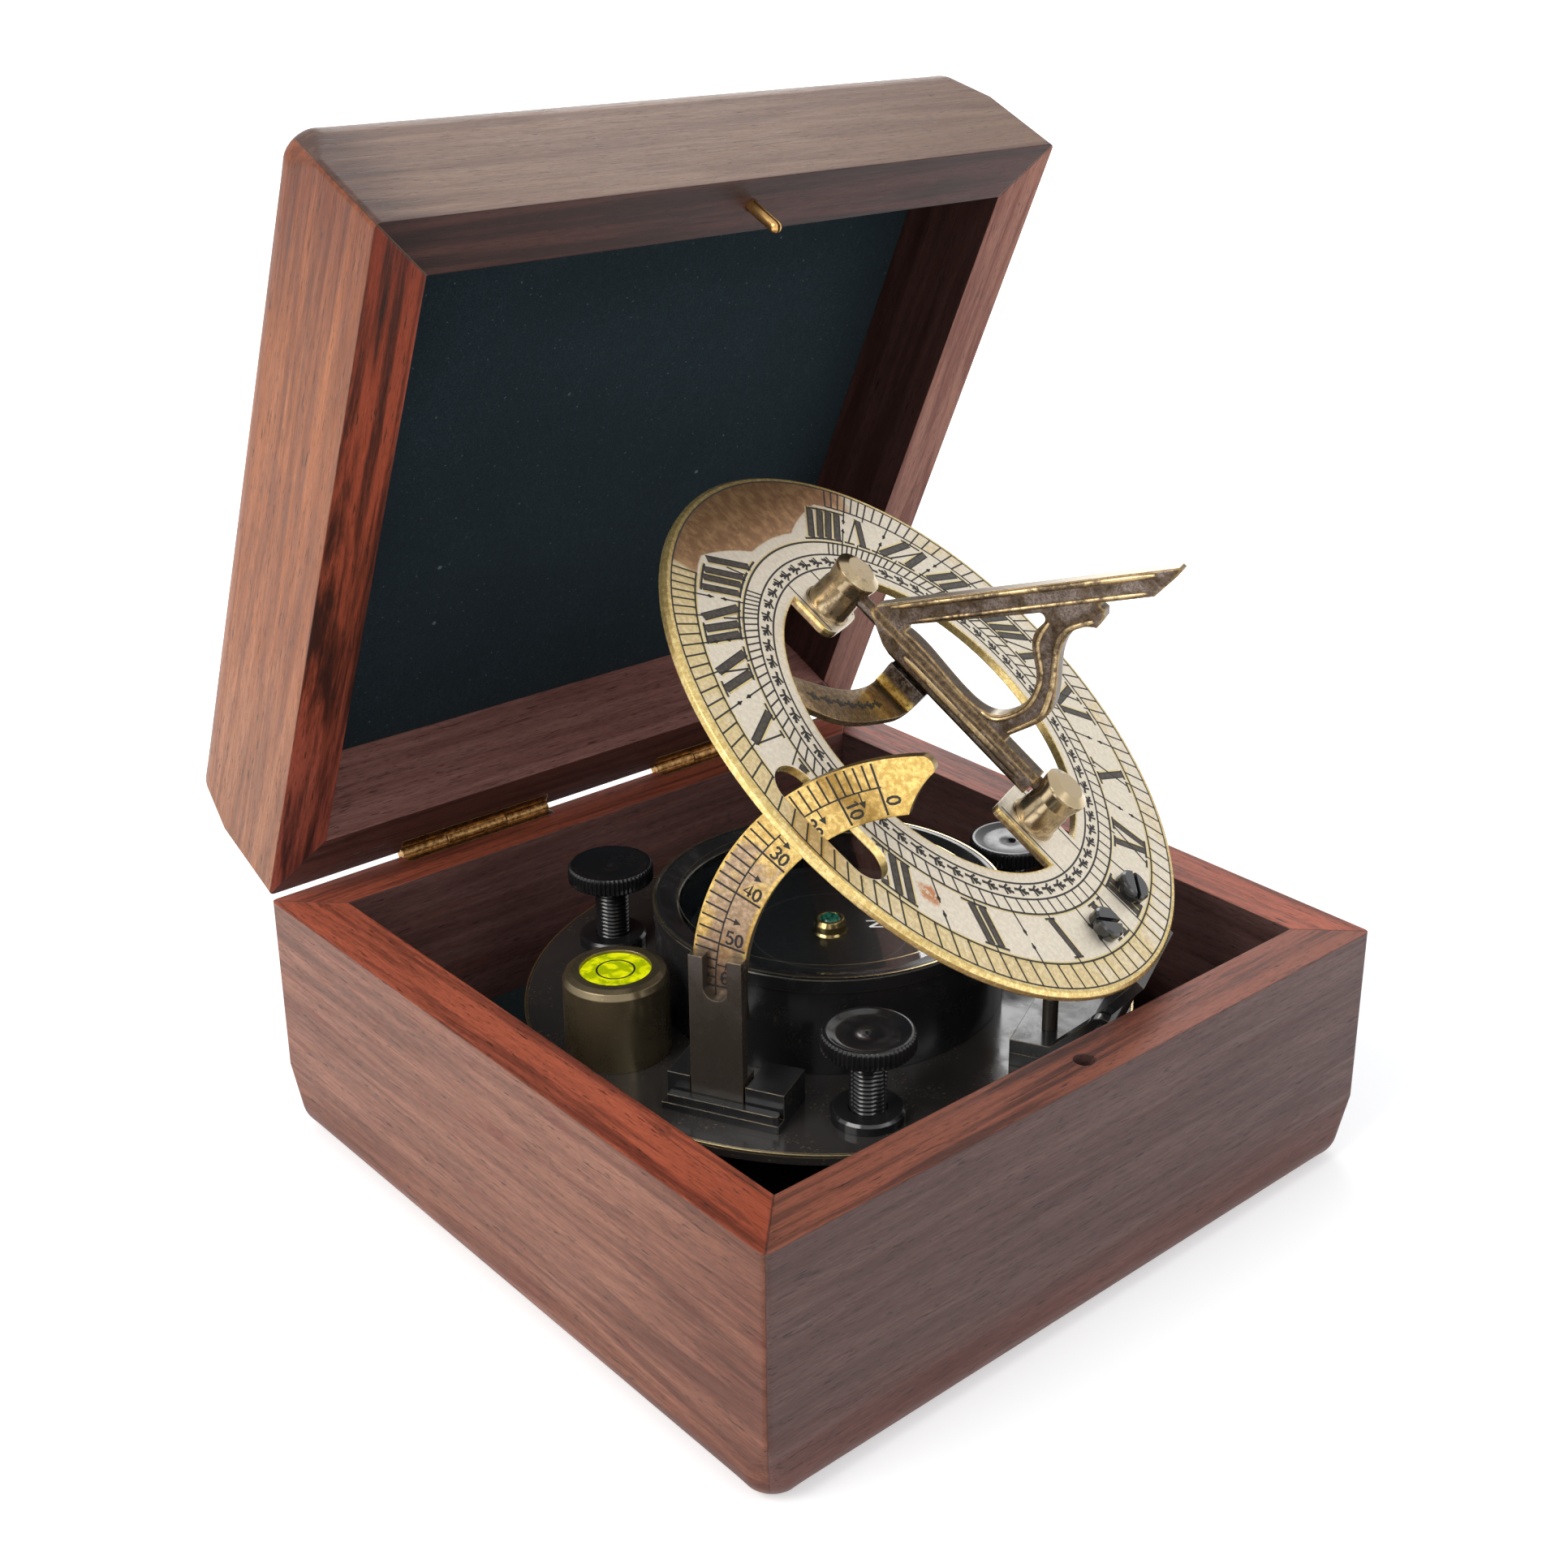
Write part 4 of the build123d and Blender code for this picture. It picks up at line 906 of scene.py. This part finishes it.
# Rubbed edges of the bezel and the base plate
edges = Shape()
edges.ring(32.4, 32.78, BEZEL_TOP)
edges.ring(28.02, 28.25, BEZEL_TOP)
plate_r = max(hypot(v.co.x / MM - CENTRE[0], v.co.y / MM - CENTRE[1]) for v in nodes["base_plate"].data.vertices)
n = 240
rim = []
for i in range(n):
    a = 2 * pi * i / n
    for r, z in ((plate_r - 0.35, PLATE_TOP), (plate_r + 0.02, PLATE_TOP), (plate_r + 0.02, 33.2)):
        rim.append((r * cos(a), r * sin(a), z))
band = []
for i in range(n):
    a, b = 3 * i, 3 * ((i + 1) % n)
    band += [(a, b, b + 1, a + 1), (a + 1, b + 1, b + 2, a + 2)]
edges.add(rim, band)
edge_brass = brass("rubbed_edges", INSTRUMENT, (0.72, 0.58, 0.32), (0.16, 0.12, 0.07), 0.2, 0.25)
edges.piece("rubbed_edges", INSTRUMENT, edge_brass, "base")

# Level: black ring on the window and its bubble
LEVEL_PLACE = INSTRUMENT @ turn(LEVEL_ANGLE, "Z") @ shift(LEVEL_R, 0, 0)
level_ring = Shape()
level_ring.ring(3.15, 3.5, 49.12, n=72)
level_ring.piece("level_ring", LEVEL_PLACE, ink, "base")


def bubble_paint():
    # painted glow: the bubble gives off its own colour as light, though it is no lamp
    p = Paint("level_bubble", LEVEL_PLACE)
    n = p.noise(0.8, 3, 0.5)
    c = p.mix(n, (0.62, 0.72, 0.02), (0.90, 0.95, 0.16))
    return p.out(c, 0.1, 0.0, None, Emission_Color=c, Emission_Strength=0.45)


bubble = Shape()
bubble.lathe([(0.0, 48.19), (1.2, 48.185), (1.7, 48.16), (1.95, 48.10), (2.05, 48.02)], 48)
bubble.piece("level_bubble", LEVEL_PLACE @ shift(1.3, -0.9, 0), bubble_paint(), "base", 60)


# Levelling screws with their threads and knurled heads
KNURLS = 58
PITCH = 0.8


def knurl(r, z, a):
    # grooves round the head, and a thread along the shank
    if 46.9 < z < 49.95 and r > 7.9:
        return r - 0.42 * (0.5 + 0.5 * cos(KNURLS * a)) ** 0.7
    if 19.6 < z < 45.7 and r > 3.0:
        turns = z / PITCH + a / (2 * pi)
        return r - 0.32 * abs(2 * (turns % 1.0) - 1)
    return r


screw_line = [(0.0, 16.5), (1.2, 16.5), (3.0, 19.0)]
screw_line += [(3.3, 19.5 + 0.16 * i) for i in range(165)]
screw_line += [(3.4, 46.0), (4.8, 46.68), (7.4, 46.7), (8.0, 46.95), (8.2, 47.2), (8.2, 48.3), (8.2, 49.5),
               (8.1, 49.9), (7.7, 50.2), (7.3, 50.3), (6.9, 50.2), (6.2, 49.75), (5.4, 49.62), (3.0, 49.6),
               (1.3, 49.6), (0.9, 49.45), (0.5, 49.0), (0.0, 48.9)]
for name, angle in SCREW_ANGLES.items():
    screw = Shape()
    screw.lathe(screw_line, 2 * KNURLS, knurl)
    ob = screw.piece("knurled_screw_" + name, INSTRUMENT @ turn(angle, "Z") @ shift(SCREW_R, 0, 0), black_knob,
                     "screw_" + name, 38)
    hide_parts("levelling_screw_" + name)


# Raised edges of the cast gnomon
def curve(points, steps=6):
    # smooth line through the points
    out = []
    for i in range(len(points) - 1):
        a, b, c, d = (Vector(points[max(0, min(len(points) - 1, i + k))]) for k in (-1, 0, 1, 2))
        for j in range(steps):
            t = j / steps
            q = 0.5 * (2 * b + (c - a) * t + (2 * a - 5 * b + 4 * c - d) * t * t + (3 * b - a - 3 * c + d) * t ** 3)
            out.append((q.x, q.y))
    return out + [tuple(points[-1])]


def rib(shape, points, face, width=1.1, height=0.42):
    # a half round bead on both faces of the upright frame
    steps = [(-0.5, -0.2), (-0.42, 0.45), (-0.22, 0.88), (0.0, 1.0), (0.22, 0.88), (0.42, 0.45), (0.5, -0.2)]
    m = len(steps)
    for side in (-1, 1):
        pts = []
        for i, (x, z) in enumerate(points):
            nx, nz = beside(points, i)
            end = min(i, len(points) - 1 - i)
            w = width * (1.0 if end > 1 else 0.55 + 0.2 * end)
            h = height * (1.0 if end > 1 else 0.35 + 0.3 * end)
            for u, v in steps:
                pts.append((x + nx * u * w, 0.4 + side * (face + v * h), z + nz * u * w))
        n = len(points)
        rows = range(0, (n - 1) * m, m)
        faces = [(a + k, a + k + 1, a + m + k + 1, a + m + k) for a in rows for k in range(m - 1)]
        faces += [(a + m, a + m + m - 1, a + m - 1, a) for a in rows]
        faces += [tuple(range(m)), tuple(range(n * m - 1, (n - 1) * m - 1, -1))]
        shape.add(pts, faces)


# along the sloping edge of the frame, its two curved edges, and the bar
beads = Shape()
rib(beads, [(-17.44 + 0.574 * t, 12.23 + 0.819 * t) for t in range(-3, 47, 2)], 1.5)
rib(beads, [(-15.07 + 0.574 * t, 10.56 + 0.819 * t) for t in range(1, 45, 2)], 1.5, 0.9)
rib(beads, curve([(6.9, 35.4), (4.8, 30.8), (5.8, 26.9), (9.6, 21.9), (12.2, 16.4), (11.7, 13.2), (10.4, 9.2)]), 1.5)
rib(beads, curve([(1.8, 29.4), (3.0, 25.2), (7.6, 21.2), (9.6, 15.2), (7.6, 9.6), (4.6, 8.3)]), 1.5, 0.9)
rib(beads, [(-11.5 + i, 5.3) for i in range(30)], 2.4, 1.3, 0.35)
bead_brass = brass("bead_brass", SEAT, (0.52, 0.38, 0.20), (0.10, 0.07, 0.045), 0.62, 0.26, 0.6)
beads.piece("gnomon_beads", SEAT, bead_brass, "gnomon", 50)


# Felt linings
def felt_paint(name, place, tint, lint):
    # napped cloth with specks of lint
    p = Paint(name, place)
    nap = p.noise(3.5, 4, 0.75)
    cloud = p.noise(0.03, 4, 0.6, 0.3)
    fibres = p.noise(1.6, 5, 0.8, 0.5, p.stretch((1.0, 0.35, 1.0)))
    speck = p.ramp(p.cells(0.16), 0.10, 0.04)
    keep = p.ramp(p.noise(0.12, 2), 0.60, 0.64)
    dust = p.ramp(p.noise(1.3, 2, 0.5), 0.705, 0.73)
    color = p.mix(p.ramp(nap, 0.3, 0.7), shade(tint, 0.62), shade(tint, 1.4))
    color = p.mix(p.ramp(fibres, 0.52, 0.70, 0.0, 0.5), color, shade(tint, 2.0))
    color = p.mix(p.ramp(cloud, 0.35, 0.65, 0.0, 0.35), color, shade(tint, 0.6))
    mark = p.max(p.mul(speck, keep), p.mul(dust, 0.6))
    color = p.mix(p.mul(mark, 0.5), color, lint)
    height = p.add(nap, p.mul(fibres, 0.6))
    return p.out(color, 0.95, 0.0, p.bump(height, 0.12, 0.8), Sheen_Weight=0.10, Sheen_Tint=(0.5, 0.6, 0.65),
                 Specular_IOR_Level=0.12)


def felt(name, place, node, back_z, top_z, material, body):
    # a thin sheet with its nap, pressed flat on the board behind it, its edges turned down a little
    rng = random.Random(7)
    n = 60
    row = n + 1
    lift = 1 if top_z > back_z else -1
    pts = []
    for j in range(row):
        for i in range(row):
            x = -FELT_HALF + 2 * FELT_HALF * i / n
            y = -FELT_HALF + 2 * FELT_HALF * j / n
            drop = 0.25 if i in (0, n) or j in (0, n) else 0.0
            wave = 0.05 * sin(x * 0.11 + 1.0) * cos(y * 0.09) + rng.uniform(-0.02, 0.02)
            pts.append((x, y, top_z - lift * (0.08 + drop + wave)))
    back = len(pts)
    pts += [(x, y, back_z) for x, y, _ in pts]
    faces = []
    for j in range(n):
        for i in range(n):
            a = j * row + i
            faces.append((a, a + 1, a + row + 1, a + row))
            faces.append((back + a, back + a + row, back + a + row + 1, back + a + 1))
    border = list(range(n)) + [n + j * row for j in range(n)] + [n * row + i for i in range(n, 0, -1)]
    border += [j * row for j in range(n, 0, -1)]
    for a, b in zip(border, border[1:] + border[:1]):
        faces.append((a, back + a, back + b, b))
    sheet = Shape()
    sheet.add(pts, faces)
    ob = sheet.piece(name, place, material, body, 40)
    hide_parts(node)


lid_roof = RIM_Z + LID_DEPTH + FELT_T
felt("base_lining", CASE, "base_felt", FELT_Z, FELT_Z + FELT_T,
     felt_paint("base_felt_cloth", CASE, (0.014, 0.024, 0.027), (0.22, 0.26, 0.26)), "base")
felt("lid_lining", LID, "lid_felt", lid_roof, lid_roof - FELT_T,
     felt_paint("lid_felt_cloth", LID, (0.0170, 0.0295, 0.0375), (0.25, 0.30, 0.30)), "lid")

# Camera, fitted to the photograph
CAM_AZIMUTH = -0.749289
CAM_ELEVATION = 0.373629
CAM_ROLL = 0.011106
CAM_PLACE = (-229.83, -264.91, 233.14)
FOCAL_PX = 2606.8
CENTRE_PX = (1088.9, 835.2)
SIZE_PX = 1932
SENSOR = 36.0

forward = Vector((-sin(CAM_AZIMUTH) * cos(CAM_ELEVATION), cos(CAM_AZIMUTH) * cos(CAM_ELEVATION), -sin(CAM_ELEVATION)))
right = forward.cross(Vector((0, 0, 1))).normalized()
up = right.cross(forward)
rolled_right = cos(CAM_ROLL) * right + sin(CAM_ROLL) * up
rolled_up = -sin(CAM_ROLL) * right + cos(CAM_ROLL) * up
cam = bpy.data.cameras.new("camera")
cam.sensor_width = SENSOR
cam.sensor_fit = "HORIZONTAL"
cam.lens = FOCAL_PX / SIZE_PX * SENSOR
cam.shift_x = (SIZE_PX / 2 - CENTRE_PX[0]) / SIZE_PX
cam.shift_y = (CENTRE_PX[1] - SIZE_PX / 2) / SIZE_PX
cam.clip_start = 0.01
cam_ob = bpy.data.objects.new("camera", cam)
bpy.context.scene.collection.objects.link(cam_ob)
aim = Matrix((rolled_right, rolled_up, -forward)).transposed().to_4x4()
aim.translation = Vector(CAM_PLACE) * MM
cam_ob.matrix_world = aim
bpy.context.scene.camera = cam_ob

# Light and floor: the sky lights the scene, and seen directly or in glass and metal it is plain white
scene = bpy.context.scene
scene.view_settings.view_transform = "Standard"
world = bpy.data.worlds.new("world")
scene.world = world
world.use_nodes = True
world.node_tree.nodes.clear()
node = world.node_tree.nodes.new
link = world.node_tree.links.new
path = node("ShaderNodeLightPath")
glossy = node("ShaderNodeMath")
clear = node("ShaderNodeMath")
mixer = node("ShaderNodeMixShader")
for background, color, strength in ((1, (0.93, 0.96, 1.0, 1), 0.62), (2, (1, 1, 1, 1), 1.0)):
    sky = node("ShaderNodeBackground")
    sky.inputs["Color"].default_value = color
    sky.inputs["Strength"].default_value = strength
    link(sky.outputs[0], mixer.inputs[background])
glossy.operation = clear.operation = "MAXIMUM"
link(path.outputs["Is Glossy Ray"], glossy.inputs[0])
link(path.outputs["Is Transmission Ray"], glossy.inputs[1])
link(path.outputs["Is Camera Ray"], clear.inputs[0])
link(glossy.outputs[0], clear.inputs[1])
link(clear.outputs[0], mixer.inputs[0])
link(mixer.outputs[0], node("ShaderNodeOutputWorld").inputs[0])


def area(name, place, target, size, power, color=(1, 1, 1)):
    light = bpy.data.lights.new(name, "AREA")
    light.shape = "RECTANGLE"
    light.size, light.size_y = size
    light.energy = power
    light.color = color
    ob = bpy.data.objects.new(name, light)
    scene.collection.objects.link(ob)
    ob.location = place
    ob.rotation_euler = (Vector(target) - Vector(place)).to_track_quat("-Z", "Y").to_euler()


area("key", (-0.95, 0.05, 0.85), (0, 0, 0.05), (0.7, 0.7), 9.0, (1.0, 0.98, 0.95))
area("fill", (0.2, -1.1, 0.9), (0, 0, 0.06), (0.9, 0.5), 3.0)
area("back", (0.7, 0.9, 0.8), (0, 0, 0.08), (0.6, 0.6), 4.0)


def floor_paint():
    # white paper, its far part seen as plain white without lighting the object
    p = Paint("floor_paper")
    x, y, _ = p.xyz()
    rays = p.node("ShaderNodeLightPath").outputs
    seen = p.max(rays["Is Camera Ray"], p.max(rays["Is Glossy Ray"], rays["Is Transmission Ray"]))
    glow = p.mul(p.ramp(p.length(x, y), 110, 330, 0.42, 1.0), seen)
    paper = p.mix(p.noise(0.02, 3, 0.5), (0.80, 0.80, 0.80), (0.82, 0.82, 0.82))
    return p.out(paper, 0.9, 0.0, None, Emission_Color=(1.0, 1.0, 1.0), Emission_Strength=glow, Specular_IOR_Level=0.0)


floor_mesh = bpy.data.meshes.new("floor")
floor_mesh.from_pydata([(-9, -9, 0), (9, -9, 0), (9, 9, 0), (-9, 9, 0)], [], [(0, 1, 2, 3)])
floor = bpy.data.objects.new("floor", floor_mesh)
scene.collection.objects.link(floor)
floor_mesh.materials.append(floor_paint())
